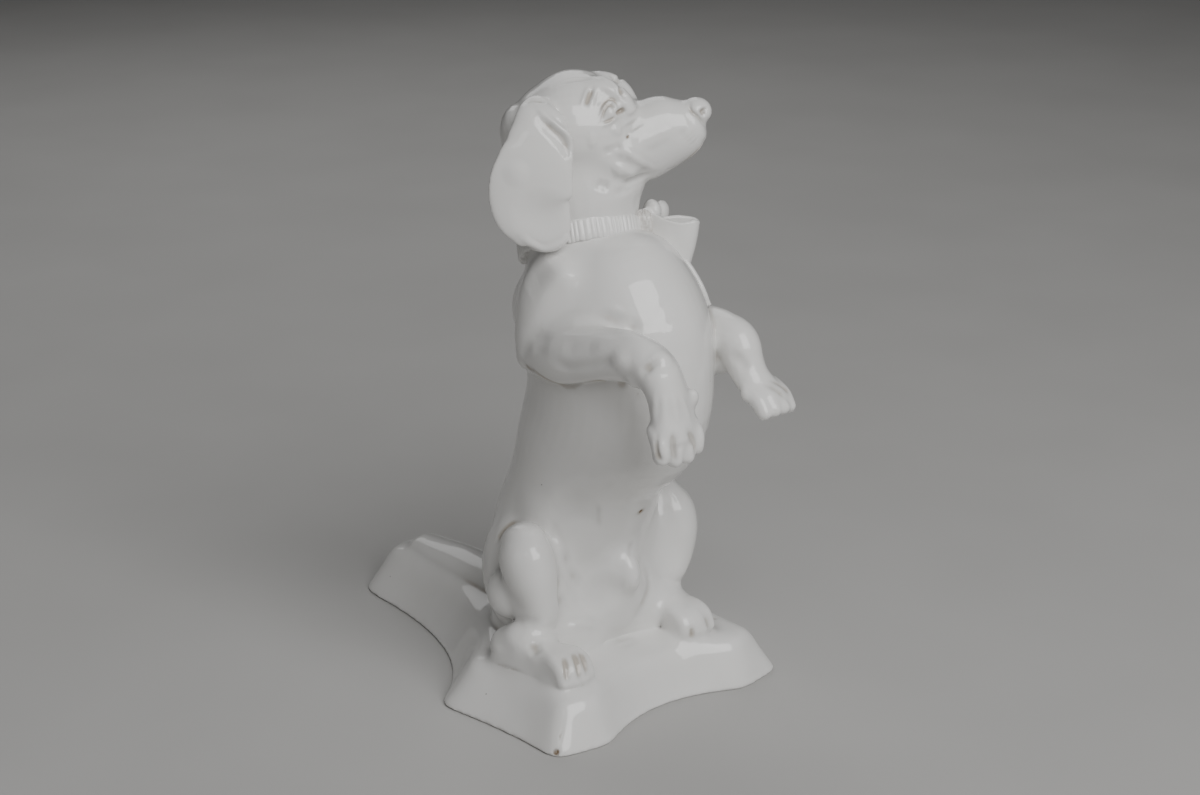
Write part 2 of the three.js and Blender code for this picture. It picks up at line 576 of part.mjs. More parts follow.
const bodies = {
  plinth: plinth(),
  torso: cut(torso(0), ground()),
  head: cut(turned(pressedFace(head(0))), torso(SEAM)),
  ear_right: cut(earRight(0), turned(head(SEAM)), torso(SEAM)),
  ear_left: cut(earLeft(0), turned(head(SEAM)), torso(SEAM)),
  foreleg_right: cut(forelegRight(0), torso(SEAM)),
  foreleg_left: cut(forelegLeft(0), torso(SEAM)),
  thigh_right: cut(thighRight(0), torso(SEAM), ground()),
  thigh_left: cut(thighLeft(0), torso(SEAM), ground()),
  hind_foot_right: cut(hindFoot(RIGHT_HEEL, RIGHT_FOOT_AIM, 0), torso(SEAM), thighRight(SEAM), ground()),
  hind_foot_left: cut(hindFoot(LEFT_HEEL, LEFT_FOOT_AIM, 0), torso(SEAM), thighLeft(SEAM), ground()),
  tail: cut(tail(0), torso(SEAM), ground()),
  collar: cut(collar(0), turned(head(SEAM)), torso(SEAM), earRight(SEAM), earLeft(SEAM)),
  bow_knot: cut(knot(0), collar(SEAM), torso(SEAM)),
  bow_loop_right: cut(loopRight(0), collar(SEAM), knot(SEAM), torso(SEAM)),
  bow_loop_left: cut(loopLeft(0), collar(SEAM), knot(SEAM), torso(SEAM), loopRight(SEAM)),
  ribbon_end_right: cut(ribbonEndRight(0), onChest(SEAM)),
  ribbon_end_left: cut(ribbonEndLeft(0), onChest(SEAM), ribbonEndRight(SEAM)),
};

// The finished figure is set with the middle of its outline over the origin.
const box = new THREE.Box3();
const shapes = Object.values(bodies).map((piece) => {
  const mesh = piece.getMesh();
  const geometry = new THREE.BufferGeometry();
  geometry.setAttribute("position", new THREE.BufferAttribute(mesh.vertProperties, 3));
  geometry.setIndex(new THREE.BufferAttribute(mesh.triVerts, 1));
  geometry.computeBoundingBox();
  box.union(geometry.boundingBox);
  return geometry;
});
const middle = box.getCenter(new THREE.Vector3());

const dog = new THREE.Group();
Object.keys(bodies).forEach((name, i) => {
  shapes[i].translate(-middle.x, -middle.y, 0);
  const node = new THREE.Mesh(shapes[i], new THREE.MeshStandardMaterial(CERAMIC));
  node.name = name;
  dog.add(node);
});

export default dog;
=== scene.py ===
import math

import bmesh
import bpy
import numpy as np
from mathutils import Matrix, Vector
from mathutils.bvhtree import BVHTree


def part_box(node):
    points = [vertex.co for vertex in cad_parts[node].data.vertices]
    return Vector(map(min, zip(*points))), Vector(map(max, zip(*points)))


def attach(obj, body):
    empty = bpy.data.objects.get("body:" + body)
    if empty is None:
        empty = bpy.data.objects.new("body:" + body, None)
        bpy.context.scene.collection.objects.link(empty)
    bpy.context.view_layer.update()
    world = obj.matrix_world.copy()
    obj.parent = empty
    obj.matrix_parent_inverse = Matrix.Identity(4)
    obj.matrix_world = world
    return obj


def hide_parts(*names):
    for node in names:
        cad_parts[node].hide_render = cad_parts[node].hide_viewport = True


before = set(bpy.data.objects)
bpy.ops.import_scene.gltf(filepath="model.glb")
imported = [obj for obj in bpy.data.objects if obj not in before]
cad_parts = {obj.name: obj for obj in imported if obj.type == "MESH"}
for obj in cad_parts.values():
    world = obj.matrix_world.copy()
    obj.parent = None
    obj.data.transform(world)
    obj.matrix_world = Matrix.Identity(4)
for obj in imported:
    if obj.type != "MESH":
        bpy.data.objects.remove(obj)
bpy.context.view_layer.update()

# The photograph was taken from the dog's front right, a little above the bow, with a long lens.
# Creases and lumps that it shows are placed by its pixels, cast through this camera onto the clay.
PHOTO_WIDTH = 1200
PHOTO_HEIGHT = 795
LENS_PIXELS = 2400
CAMERA_AZIMUTH = math.radians(-41)
CAMERA_RISE = math.radians(20)
CAMERA_DISTANCE = 1392
CAMERA_AIM = (-18, 0, 190)
SENSOR_MM = 36

plinth_low, plinth_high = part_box("plinth")
PLINTH_ASIDE = -4
PLINTH_TAIL_END = 219.3
MIDDLE = np.array([
    (plinth_low.x + plinth_high.x) * 500 - PLINTH_ASIDE,
    plinth_high.y * 1000 - PLINTH_TAIL_END,
    0,
])


def at(points):
    """Millimetres from the dog's own middle line, as metres in the frame."""
    return (np.asarray(points, float) + MIDDLE) / 1000


camera_back = np.array([
    math.sin(CAMERA_AZIMUTH) * math.cos(CAMERA_RISE),
    -math.cos(CAMERA_AZIMUTH) * math.cos(CAMERA_RISE),
    math.sin(CAMERA_RISE),
])
camera_right = np.array([math.cos(CAMERA_AZIMUTH), math.sin(CAMERA_AZIMUTH), 0])
camera_up = np.cross(camera_back, camera_right)
camera_place = at(np.array(CAMERA_AIM) + camera_back * CAMERA_DISTANCE)
bpy.ops.object.camera_add(
    location=camera_place,
    rotation=(math.pi / 2 - CAMERA_RISE, 0, CAMERA_AZIMUTH),
)
camera = bpy.context.object
camera.name = "photograph_camera"
camera.data.sensor_width = SENSOR_MM
camera.data.lens = SENSOR_MM * LENS_PIXELS / PHOTO_WIDTH
bpy.context.scene.camera = camera


def sight(pixel):
    """The line of sight through one pixel of the photograph."""
    across = camera_right * (pixel[0] - PHOTO_WIDTH / 2)
    upward = camera_up * (PHOTO_HEIGHT / 2 - pixel[1])
    return Vector(across + upward - camera_back * LENS_PIXELS).normalized()


# Plinth: a low star of clay with hollow sides and blunt corners, thrown out at the back into a long arm.
# It is pressed in a mould with the figure, so its walls lean, and the glaze has run thick over every edge.
PLINTH_HEIGHT = 29.5
PLINTH_HALF_WIDTH = 98
PLINTH_FRONT = 57
PLINTH_SHOULDER = 48
CORNER_INNER = 54
CORNER_OUTER = 91
CORNER_SWEEP = 7
FRONT_HOLLOW = 34
SIDE_HOLLOW = 9
FLANK_CORNER = 4
ARM_REACH = 220
ARM_HALF_WIDTH = 37
ARM_WAIST = 5
WALL_LEAN = 18.5
END_LEAN = 11
PLINTH_EDGE = 3
CORNER_ROUNDING = 8
FOOT_RIM = 9
FOOT_RECESS = 1.5
# How far each corner of the outline moves for one millimetre that the walls lean in.
INNER_SHIFT = 0.17
OUTER_SHIFT = 0.78
FACET_SHIFT = 1.15
SHOULDER_SHIFT = 0.45
ARM_SHIFT = 1.05
TIP_SHIFT = 0.8
# Where the hollow sides are pulled to, as shares of the outline's own sizes.
SIDE_DIP = 0.1
BAY_OF_SHOULDER = 0.9
BAY_OF_REACH = 0.22
FACET_STEPS = 12
TIP_STEPS = 16
LONG_STEPS = 40


def pull(name, rings):
    """A closed form, extruded ring by ring from a filled circle."""
    bpy.ops.object.select_all(action="DESELECT")
    bpy.ops.mesh.primitive_circle_add(vertices=len(rings[0]), radius=0.01, fill_type="NGON")
    form = bpy.context.object
    form.name = name
    bpy.ops.object.mode_set(mode="EDIT")
    bpy.ops.mesh.select_all(action="SELECT")
    clay = bmesh.from_edit_mesh(form.data)
    place = clay.verts.layers.int.new("place")
    clay.verts.ensure_lookup_table()
    for j, vert in enumerate(clay.verts):
        vert[place] = j
    for i, ring in enumerate(rings):
        if i:
            bpy.ops.mesh.extrude_region_move(TRANSFORM_OT_translate={"value": (0, 0, 0.001)})
        clay = bmesh.from_edit_mesh(form.data)
        place = clay.verts.layers.int["place"]
        for vert in clay.verts:
            if vert.select:
                vert.co = ring[vert[place]]
        bmesh.update_edit_mesh(form.data)
    bpy.ops.mesh.select_all(action="SELECT")
    bpy.ops.mesh.normals_make_consistent(inside=False)
    bpy.ops.object.mode_set(mode="OBJECT")
    return form


def bowed(start, pull_to, end, count=26):
    """Points along a hollow side, from one corner towards the next."""
    t = (np.arange(count) / count)[:, None]
    start, pull_to, end = (np.array(p, float) for p in (start, pull_to, end))
    return (1 - t) ** 2 * start + 2 * t * (1 - t) * pull_to + t ** 2 * end


def straight(start, end, count=6):
    """Points along a straight side, from one corner towards the next."""
    t = (np.arange(count) / count)[:, None]
    return np.array(start, float) * (1 - t) + np.array(end, float) * t


def plinth_ring(lean, height, inset=0):
    """The plinth's outline at one height, with a lean of nought at its foot and one at its top."""
    side = WALL_LEAN * lean + inset
    end = END_LEAN * lean + inset
    inner = CORNER_INNER + side * INNER_SHIFT
    outer = CORNER_OUTER - side * OUTER_SHIFT
    front = PLINTH_FRONT - end
    facet = PLINTH_FRONT - CORNER_SWEEP - end * FACET_SHIFT
    shoulder = PLINTH_SHOULDER - side * SHOULDER_SHIFT
    flank = PLINTH_HALF_WIDTH - side
    arm = ARM_HALF_WIDTH - side * ARM_SHIFT
    tip = ARM_REACH - end * TIP_SHIFT
    bay = shoulder * BAY_OF_SHOULDER + ARM_REACH * BAY_OF_REACH
    low = (flank + FLANK_CORNER / 4, shoulder - FLANK_CORNER)
    high = (flank - FLANK_CORNER / 2, shoulder + FLANK_CORNER)
    right = [
        straight((inner, -front), (outer, -facet), FACET_STEPS),
        bowed((outer, -facet), (flank - SIDE_HOLLOW, -facet * SIDE_DIP), low),
        straight(low, high),
        bowed(high, (arm - ARM_WAIST, bay), (arm, tip), LONG_STEPS),
    ]
    left = [
        bowed((-arm, tip), (ARM_WAIST - arm, bay), (-high[0], high[1]), LONG_STEPS),
        straight((-high[0], high[1]), (-low[0], low[1])),
        bowed((-low[0], low[1]), (SIDE_HOLLOW - flank, -facet * SIDE_DIP), (-outer, -facet)),
        straight((-outer, -facet), (-inner, -front), FACET_STEPS),
        bowed((-inner, -front), (0, FRONT_HOLLOW + side - PLINTH_FRONT), (inner, -front), LONG_STEPS),
    ]
    plan = np.vstack(right + [straight((arm, tip), (-arm, tip), TIP_STEPS)] + left)
    for _ in range(CORNER_ROUNDING):
        plan = 0.5 * plan + 0.25 * (np.roll(plan, 1, 0) + np.roll(plan, -1, 0))
    return at(np.column_stack([plan[:, 0] + PLINTH_ASIDE, plan[:, 1], np.full(len(plan), height)]))


edge = PLINTH_EDGE / PLINTH_HEIGHT
plinth_clay = pull("plinth_clay", [
    plinth_ring(0, FOOT_RECESS, FOOT_RIM),
    plinth_ring(0, 0, FOOT_RIM),
    plinth_ring(0, 0, PLINTH_EDGE * 0.6),
    plinth_ring(edge * 0.3, PLINTH_EDGE * 0.4, PLINTH_EDGE * 0.1),
    plinth_ring(edge, PLINTH_EDGE),
    plinth_ring(0.5, PLINTH_HEIGHT * 0.5),
    plinth_ring(1 - edge, PLINTH_HEIGHT - PLINTH_EDGE),
    plinth_ring(1 - edge * 0.3, PLINTH_HEIGHT - PLINTH_EDGE * 0.35, PLINTH_EDGE * 0.25),
    plinth_ring(1, PLINTH_HEIGHT, PLINTH_EDGE),
])
body_clay = [plinth_clay]

# Torso: a hollow barrel pressed in two halves, leaning forward from the rump to the keel of the chest.
# The belly hangs to the plinth in front, with the sheath as a lump on it.
AHEAD = (0, -1, 0)
UP = (0, 0, 1)
# Each row is the middle of a section (x, y, z), its half width, and its half depth ahead and behind.
TORSO = [
    (0, 47, 18, 50, 44, 44),
    (0, 48, 60, 54, 47, 49),
    (0, 45.1, 92.8, 49, 47, 48),
    (0, 35.5, 123, 45, 47.4, 45.6),
    (0, 24, 150.8, 46, 49.8, 50.4),
    (0, 7.7, 182.2, 48.5, 61.8, 58.8),
    (0, 3.8, 207.4, 50, 61.2, 58),
    (0, 4.8, 233.8, 48.5, 58.2, 57.5),
    (0, 10.6, 254.2, 42, 46.5, 54),
    (0, 20.2, 269.2, 31, 32.5, 44.4),
]
COLLAR_MIDDLE = np.array([-2, 34, 277.8])
COLLAR_AXIS = np.array([0.131, 0.342, 0.931])


def curve(rows, steps):
    """Rows of numbers, drawn out as a smooth line through them all."""
    rows = np.asarray(rows, float)
    held = np.vstack([2 * rows[0] - rows[1], rows, 2 * rows[-1] - rows[-2]])
    drawn = []
    for a, b, c, d in zip(held, held[1:], held[2:], held[3:]):
        for t in np.arange(steps) / steps:
            drawn.append(b + 0.5 * t * (c - a + t * (2 * a - 5 * b + 4 * c - d + t * (3 * (b - c) + d - a))))
    return np.vstack(drawn + [rows[-1]])


def unit(vectors):
    """The same directions, each one long."""
    return vectors / np.linalg.norm(vectors, axis=-1, keepdims=True)


def sections(rows, face, steps):
    """The middle, half sizes and three directions of each section of a roll."""
    drawn = curve(rows, steps)
    along = unit(np.gradient(drawn[:, :3], axis=0))
    face = np.array(face, float)
    front = unit(face - along * (along @ face)[:, None])
    return drawn, along, front, np.cross(along, front)


TIP_BENDS = np.radians([82, 66, 48, 30, 14])


def roll(name, rows, face=AHEAD, sides=32, steps=5, tips=(0.6, 0.6)):
    """A roll of clay: an oval section carried along a line, rounded at both ends."""
    drawn, along, front, aside = sections(rows, face, steps)
    turn = 2 * np.pi * np.arange(sides) / sides

    def ring(i, shrink=1.0, push=0.0):
        ahead = np.where(np.cos(turn) > 0, drawn[i, 4], drawn[i, 5]) * np.cos(turn) * shrink
        across = drawn[i, 3] * np.sin(turn) * shrink
        middle = drawn[i, :3] + along[i] * push
        return middle + ahead[:, None] * front[i] + across[:, None] * aside[i]

    depth = [tips[0] * drawn[0, 3:5].min(), tips[1] * drawn[-1, 3:5].min()]
    rings = [ring(0, np.cos(b), -np.sin(b) * depth[0]) for b in TIP_BENDS]
    rings += [ring(i) for i in range(len(drawn))]
    rings += [ring(-1, np.cos(b), np.sin(b) * depth[1]) for b in TIP_BENDS[::-1]]
    return pull(name, [at(r) for r in rings])


def pellet(name, middle, half, turn=(0, 0, 0)):
    """An oval lump of clay, turned by degrees about the three axes."""
    bpy.ops.object.select_all(action="DESELECT")
    bpy.ops.mesh.primitive_uv_sphere_add(
        segments=32,
        ring_count=18,
        radius=1,
        location=at(middle),
        rotation=[math.radians(d) for d in turn],
        scale=np.array(half) / 1000,
    )
    bpy.ops.object.transform_apply(location=True, rotation=True, scale=True)
    lump = bpy.context.object
    lump.name = name
    return lump


body_clay += [
    roll("torso_clay", TORSO, sides=48, tips=(0.05, 0.1)),
    pellet("sheath", (-1, -3, 76), (8.5, 12, 15), (-10, 0, 0)),
    pellet("belly_end", (-1, 6, 58), (22, 14, 26)),
    pellet("skirt_right", (-34, 8, 42), (24, 13, 18)),
    pellet("skirt_left", (24, 6, 42), (20, 13, 17)),
    pellet("haunch_right", (-36, 42, 70), (26, 36, 44)),
    pellet("haunch_left", (36, 42, 70), (26, 36, 44)),
    pellet("nape", (-2.5, 31, 243), (39, 34, 22)),
    pellet("shoulder_blade_right", (-30, 30, 238), (18, 28, 28)),
    pellet("shoulder_blade_left", (30, 30, 236), (17, 28, 27)),
    roll("neck_root", [
        (*(COLLAR_MIDDLE + COLLAR_AXIS), 33, 33, 34),
        (*(COLLAR_MIDDLE - COLLAR_AXIS * 6), 34, 34, 35),
        (-1, 26, 262, 35, 34, 37),
        (0, 18, 242, 40, 40, 42),
    ], tips=(0.03, 0.4)),
]

# Forelegs: solid rolls of clay luted to the shoulders with slip, held up to beg and bent at the wrist.
# The upper arm is laid flat on the chest and the paw hangs, with four toes and a small dewclaw.
body_clay += [
    roll("upper_arm_right", [
        (-33, 12, 268, 14, 19, 24),
        (-39, 19, 250, 15, 22, 23),
        (-43.5, 20, 232, 15, 21, 19),
        (-45, 20, 219, 14.5, 17, 16),
    ]),
    roll("forearm_right", [
        (-45, 24, 217, 13, 13, 12),
        (-48, 0, 223, 15, 17, 16.5),
        (-48.5, -24, 229, 14.5, 16, 15.5),
        (-47.5, -46, 234.5, 13.5, 14.5, 14.5),
        (-46, -64, 237, 12.5, 13.5, 14.5),
        (-44.5, -77, 233, 12.5, 12.5, 12.5),
        (-42, -83, 222, 13.5, 10.5, 11),
        (-40.5, -86, 209, 15.5, 10, 10),
        (-40, -88.5, 196, 17, 9.5, 8.5),
    ], face=(0.1, -0.5, 0.86), tips=(0.8, 0.4)),
    pellet("wrist_pad_right", (-46, -68, 229), (11, 9, 8)),
    pellet("dewclaw_right", (-27.5, -88, 216), (3.4, 4, 6.5), (20, -10, 0)),
    roll("upper_arm_left", [
        (29, 14, 254, 12, 16, 20),
        (37.5, 18, 243, 14.5, 20, 23),
        (43.5, 20.5, 230, 15.2, 21, 21.5),
        (45, 20, 219, 14.5, 17, 17),
    ]),
    roll("forearm_left", [
        (45, 22, 216, 13, 13, 12),
        (47, -2, 219, 14.5, 17, 17),
        (47.5, -20, 221, 14, 16.5, 16.5),
        (47.5, -36, 222.5, 13, 15, 15.5),
        (47, -47, 220.5, 12.5, 13.5, 13.5),
        (46.5, -53, 211, 11.5, 11.5, 11),
        (47, -59, 203, 11, 9.5, 9.5),
        (48, -66.5, 197, 11.5, 8.5, 8.5),
        (49, -73, 192.5, 12, 8, 8),
    ], face=(-0.1, -0.4, 0.9), tips=(0.8, 0.4)),
    pellet("forearm_belly_left", (46, -26, 210), (12.5, 24, 11.5)),
    pellet("wrist_knob_left", (45, -50, 219), (10, 8, 8)),
    pellet("dewclaw_left", (36.5, -66, 196.5), (3.2, 5, 4.2), (35, 0, 0)),
]
FORE_TOE_SPREAD = (-12.6, -4.4, 4.4, 12.6)
FORE_TOE_DROP = (2.5, 0, 0, 3)
TOE_SET_BACK = 0.18
TOE_ROOT_X = 0.99
RIGHT_PAW_X = -40.5
LEFT_PAW_X = 49
LEFT_PAW_SPREAD = 0.78
for i, (spread, drop) in enumerate(zip(FORE_TOE_SPREAD, FORE_TOE_DROP)):
    x = RIGHT_PAW_X + spread
    back = abs(spread) * TOE_SET_BACK
    body_clay.append(roll(f"fore_toe_right_{i}", [
        (x * TOE_ROOT_X, -87 + back, 202 + drop * 0.5, 4.6, 5, 5),
        (x, -92.5 + back, 193 + drop, 5.2, 6.2, 6),
        (x, -93.5 + back, 185.5 + drop, 4.6, 5.4, 5.4),
    ], sides=20, tips=(0.8, 0.95)))
    x = LEFT_PAW_X + spread * LEFT_PAW_SPREAD
    body_clay.append(roll(f"fore_toe_left_{i}", [
        (x * TOE_ROOT_X, -66 + back, 199, 4.2, 4.4, 5),
        (x, -74.5 + back, 194.5 - drop * 0.3, 4.6, 5.4, 5.6),
        (x, -80 + back, 188.5 - drop * 0.3, 4.2, 4.8, 4.8),
    ], face=UP, sides=20, tips=(0.8, 0.95)))

# Hind legs: folded thighs pressed with the body, and long feet luted flat to the plinth.
# Each has the calf as a second lump behind the thigh, a squared heel, an ankle knob and four blunt toes.
# Each row: the side's name and sign, the foot's x and set-back, and the thigh's reach out and taper.
HIND_FEET = [("right", -1, -64.5, 0.0, 61, 4), ("left", 1, 40, 3.0, 55.5, 11)]
HIND_TOE_SPREAD = (-10, -3.5, 3.5, 10)
for name, side, foot_x, set_back, out, taper in HIND_FEET:
    heel_x = foot_x + side * 4
    body_clay += [
        roll(f"thigh_{name}", [
            (side * (out - 4), 24, 105, 12, 14.5, 14.5),
            (side * (out - 2), 19, 95, 15.5, 18.5, 18),
            (side * (out - 2), 14.5, 83, 15, 17.5, 17),
            (side * (out - 2 - taper / 4), 11, 70, 12.5, 14, 14),
            (side * (out - taper), 10, 59, 11.5, 13, 13.5),
        ], tips=(0.75, 0.6)),
        pellet(f"hock_{name}", (foot_x + side, 11 + set_back, 46), (14, 16, 11)),
        pellet(f"calf_{name}", (side * (out + 2), 33, 66.5), (10.5, 15, 15), (8, 0, 0)),
        pellet(f"heel_{name}", (heel_x, 22 + set_back, 40), (13, 14, 12)),
        roll(f"foot_{name}", [
            (heel_x, 26 + set_back, 36, 13, 13, 13),
            (foot_x + side * 2, 8 + set_back, 38, 12.5, 12, 12),
            (foot_x - side, -8 + set_back, 38.5, 11.5, 10.5, 12),
            (foot_x - side * 2.5, -20 + set_back, 36.5, 12, 9, 12),
        ], face=UP),
        pellet(f"ankle_{name}", (foot_x + side * 1.5, -5 + set_back, 43), (11, 10, 7.5)),
        pellet(f"sole_{name}", (foot_x - side * 2.8, -20 + set_back, 32.5), (14.5, 13, 5.5)),
    ]
    for i, spread in enumerate(HIND_TOE_SPREAD):
        x = foot_x - side * 3 + spread * 0.95
        back = set_back + abs(spread) * 0.25
        body_clay.append(roll(f"hind_toe_{name}_{i}", [
            (foot_x - side * 2 + spread * 0.9, -11 + back, 43, 3.8, 4.2, 5),
            (x, -20 + back, 44, 4.3, 5, 6),
            (x, -28 + back, 41, 4.4, 5.2, 6),
            (x, -31.5 + back, 34, 4.3, 5, 5.4),
        ], face=UP, sides=20, tips=(0.6, 0.9)))

# Tail: a thick tapering roll laid along the plinth's arm and smoothed down onto it.
# It covers the arm's whole top and dies away at the end.
body_clay.append(roll("tail_clay", [
    (-2, 76, 44, 22, 15, 14),
    (-2.5, 100, 34, 19.5, 13, 12),
    (-3, 126, 30, 18, 12, 12),
    (-4, 160, 29, 16.5, 11.5, 12),
    (-4, 192, 28, 13.5, 9.5, 12),
], face=UP, tips=(0.4, 0.9)))


# A stroke comes on over this share of its run, from this share of its depth, and its dirt spreads wider.
STROKE_FADE = 0.3
STROKE_START = 0.12
DIRT_SPREAD = 1.6


class Clay:
    """Soft clay as points that can be pressed, drawn out and smoothed."""

    def __init__(self, name, lumps, grain):
        bpy.ops.object.select_all(action="DESELECT")
        for lump in lumps:
            lump.select_set(True)
        bpy.context.view_layer.objects.active = lumps[0]
        bpy.ops.object.join()
        self.form = bpy.context.object
        self.form.name = name
        kneaded = self.form.modifiers.new("kneaded", "REMESH")
        kneaded.mode = "VOXEL"
        kneaded.voxel_size = grain / 1000
        bpy.ops.object.modifier_apply(modifier=kneaded.name)
        mesh = self.form.data
        self.points = np.empty(len(mesh.vertices) * 3)
        mesh.vertices.foreach_get("co", self.points)
        self.points = self.points.reshape(-1, 3) * 1000
        self.edges = np.empty(len(mesh.edges) * 2, int)
        mesh.edges.foreach_get("vertices", self.edges)
        self.edges = self.edges.reshape(-1, 2)
        self.faces = np.empty(len(mesh.loops), int)
        mesh.loops.foreach_get("vertex_index", self.faces)
        self.faces = self.faces.reshape(-1, 4)
        count = len(self.points)
        self.valence = np.bincount(self.edges.ravel(), minlength=count)
        self.grime = np.zeros(count)
        self.feel()

    def feel(self):
        """Reads the surface again after it has been worked."""
        mesh = self.form.data
        mesh.vertices.foreach_set("co", (self.points / 1000).ravel())
        mesh.update()
        self.out = np.empty(len(self.points) * 3)
        mesh.vertices.foreach_get("normal", self.out)
        self.out = self.out.reshape(-1, 3)
        self.tree = None

    def surface(self):
        """The skin that lines of sight meet."""
        if self.tree is None:
            self.tree = BVHTree.FromPolygons((self.points / 1000).tolist(), self.faces.tolist())
        return self.tree

    def spread(self, values):
        """The mean of each point's neighbours."""
        a, b = self.edges[:, 0], self.edges[:, 1]
        count = len(self.points)
        total = np.bincount(a, values[b], count) + np.bincount(b, values[a], count)
        return total / self.valence

    def lean(self):
        """How far each point lies from the mean of its neighbours."""
        return np.column_stack([self.spread(self.points[:, k]) for k in range(3)]) - self.points

    def even(self, rounds):
        """Takes out the grain and keeps the size."""
        for _ in range(rounds):
            self.points += 0.5 * self.lean()
            self.points -= 0.52 * self.lean()

    def fill(self, rounds, share):
        """Slip and glaze run into the hollows and leave the swellings as they are."""
        for i in range(rounds):
            if i % 10 == 0:
                self.feel()
            step = self.lean()
            outward = (step * self.out).sum(1)
            self.points += (0.9 * share * np.clip(outward, 0, None))[:, None] * self.out
            self.points += 0.1 * share[:, None] * step

    def sponge(self, rounds, share):
        """Rubs edges round."""
        for _ in range(rounds):
            self.points += 0.5 * share[:, None] * self.lean()

    def near(self, spots, reach):
        """How near each point is to any of the spots, from one at the spot to nought at its reach."""
        share = np.zeros(len(self.points))
        for spot in spots:
            gap = np.linalg.norm(self.points - (np.array(spot) + MIDDLE), axis=1) / reach
            share = np.maximum(share, np.clip(1 - gap * gap, 0, 1))
        return share

    def touch(self, pixels):
        """Where lines of sight through the photograph's pixels meet the clay."""
        met = []
        for pixel in pixels:
            spot = self.surface().ray_cast(Vector(camera_place), sight(pixel))[0]
            if spot is not None:
                met.append(np.array(spot) * 1000)
        return np.array(met)

    def press(self, path, width, depth, dirt):
        """One stroke of a tool along a path: a furrow, or a ridge where the depth is above nought."""
        path = np.asarray(path)
        if len(path) > 1:
            length = np.linalg.norm(np.diff(path, axis=0), axis=1).mean()
            path = curve(path, int(length / min(0.3 * width, 0.8)) + 1)
        close = np.flatnonzero(
            ((self.points > path.min(0) - width) & (self.points < path.max(0) + width)).all(1))
        gap = np.linalg.norm(self.points[close][:, None] - path[None], axis=2)
        nearest = gap.argmin(1)
        gap = gap[np.arange(len(close)), nearest] / width
        run = nearest / max(1, len(path) - 1)
        ease = np.ones(len(close))
        if len(path) > 1:
            ease = np.clip(np.minimum(run, 1 - run) / STROKE_FADE + STROKE_START, 0, 1)
        fall = np.clip(1 - gap * gap, 0, 1) ** 2
        self.points[close] += self.out[close] * (depth * fall * ease)[:, None]
        self.grime[close] = np.maximum(self.grime[close], dirt * np.clip(DIRT_SPREAD * fall, 0, 1) * ease)

    def stroke(self, pixels, width, depth, dirt, twin):
        """A stroke seen in the photograph, and its twin on the side that the photograph doesn't show."""
        path = self.touch(pixels)
        if len(path) == 0:
            return
        self.press(path, width, depth, dirt)
        if twin is None:
            return
        across = [self.surface().find_nearest(Vector(spot / 1000))[:2] for spot in twin(path)]
        if max(np.array(out) @ camera_back for _, out in across) < 0.1:
            self.press(np.array([spot for spot, _ in across]) * 1000, width, depth, dirt)

    def strokes(self, table, twin=None):
        """Works through a table of strokes in its order."""
        for pixels, width, depth, dirt in table:
            self.stroke(pixels, width, depth, dirt, twin)


def other_flank(path):
    """The same places on the dog's left, across its middle line."""
    return (path - MIDDLE) * (-1, 1, 1) + MIDDLE


FIGURE_GRAIN = 1.15
figure = Clay("figure_clay", body_clay, FIGURE_GRAIN)
figure.even(6)
figure.fill(40, np.full(len(figure.points), 0.5))
# Joins that were smoothed over with slip and a finger, as places on the skin.
SOFT_JOINS = [
    (-34, 4, 262), (-38, -6, 250), (-36, 40, 250), (36, 40, 250), (-30, 60, 110), (30, 60, 110),
    (-38, 16, 128), (38, 16, 128), (0, 62, 255), (-2, 88, 45), (0, 10, 275), (-2, -10, 88),
    (0, -4, 58), (-20, 0, 60), (20, 0, 60), (-43, -8, 84), (-43, -8, 60), (-45, -10, 44),
    (34, -6, 90), (34, -6, 74), (32, -6, 58), (30, -8, 44), (20, -8, 38), (64, 30, 60),
    (56, 10, 50), (-30, -6, 40), (-70, 14, 52), (-66, -2, 50), (-42, 36, 262), (-44, 22, 258),
    (-44, 4, 94), (-46, 2, 78), (-46, 0, 62), (-72, 30, 52), (42, 4, 92), (44, 2, 76),
]
JOIN_REACH = 30
figure.fill(260, figure.near(SOFT_JOINS, JOIN_REACH))
RUB_TOP = 31.5
RUB_FOOT = 4
plinth_height = figure.points[:, 2]
below_top = np.clip((RUB_TOP - plinth_height) / 2, 0, 1)
above_foot = np.clip((plinth_height - RUB_FOOT) / 10, 0, 1)
figure.sponge(70, below_top * above_foot)
figure.even(4)
figure.feel()

# Each stroke: the photograph's pixels that it runs through, its width and depth in millimetres, its dirt.
BROAD_STROKES = [
    ([(547, 330), (541, 344), (539, 359)], 10, -0.7, 0),
    ([(548, 327), (573, 322), (603, 326), (632, 335), (650, 344)], 7, 0.8, 0),
    ([(591, 313), (612, 319), (632, 326), (653, 340)], 6, -1.2, 0),
    ([(554, 362), (565, 367), (582, 366), (603, 362), (612, 358)], 5, -1.0, 0),
    ([(562, 348), (580, 348), (600, 345)], 7, -0.8, 0),
    ([(653, 307), (664, 316), (678, 328)], 20, -0.5, 0),
    ([(527, 291), (544, 269), (562, 255)], 12, -1.4, 0),
    ([(543, 520), (554, 544), (563, 564), (577, 585)], 6, 1.2, 0),
    ([(561, 549), (567, 568), (581, 586)], 5, -1.2, 0),
    ([(559, 574), (560, 594), (565, 608)], 6, -1.4, 0),
    ([(533, 510)], 18, 1.4, 0),
    ([(579, 538)], 18, 1.2, 0),
    ([(573, 508)], 18, -1.4, 0),
    ([(603, 592)], 16, -2.0, 0),
    ([(509, 631)], 11, 1.0, 0),
    ([(533, 642), (537, 656)], 6, -1.4, 0),
]
figure.strokes(BROAD_STROKES, other_flank)
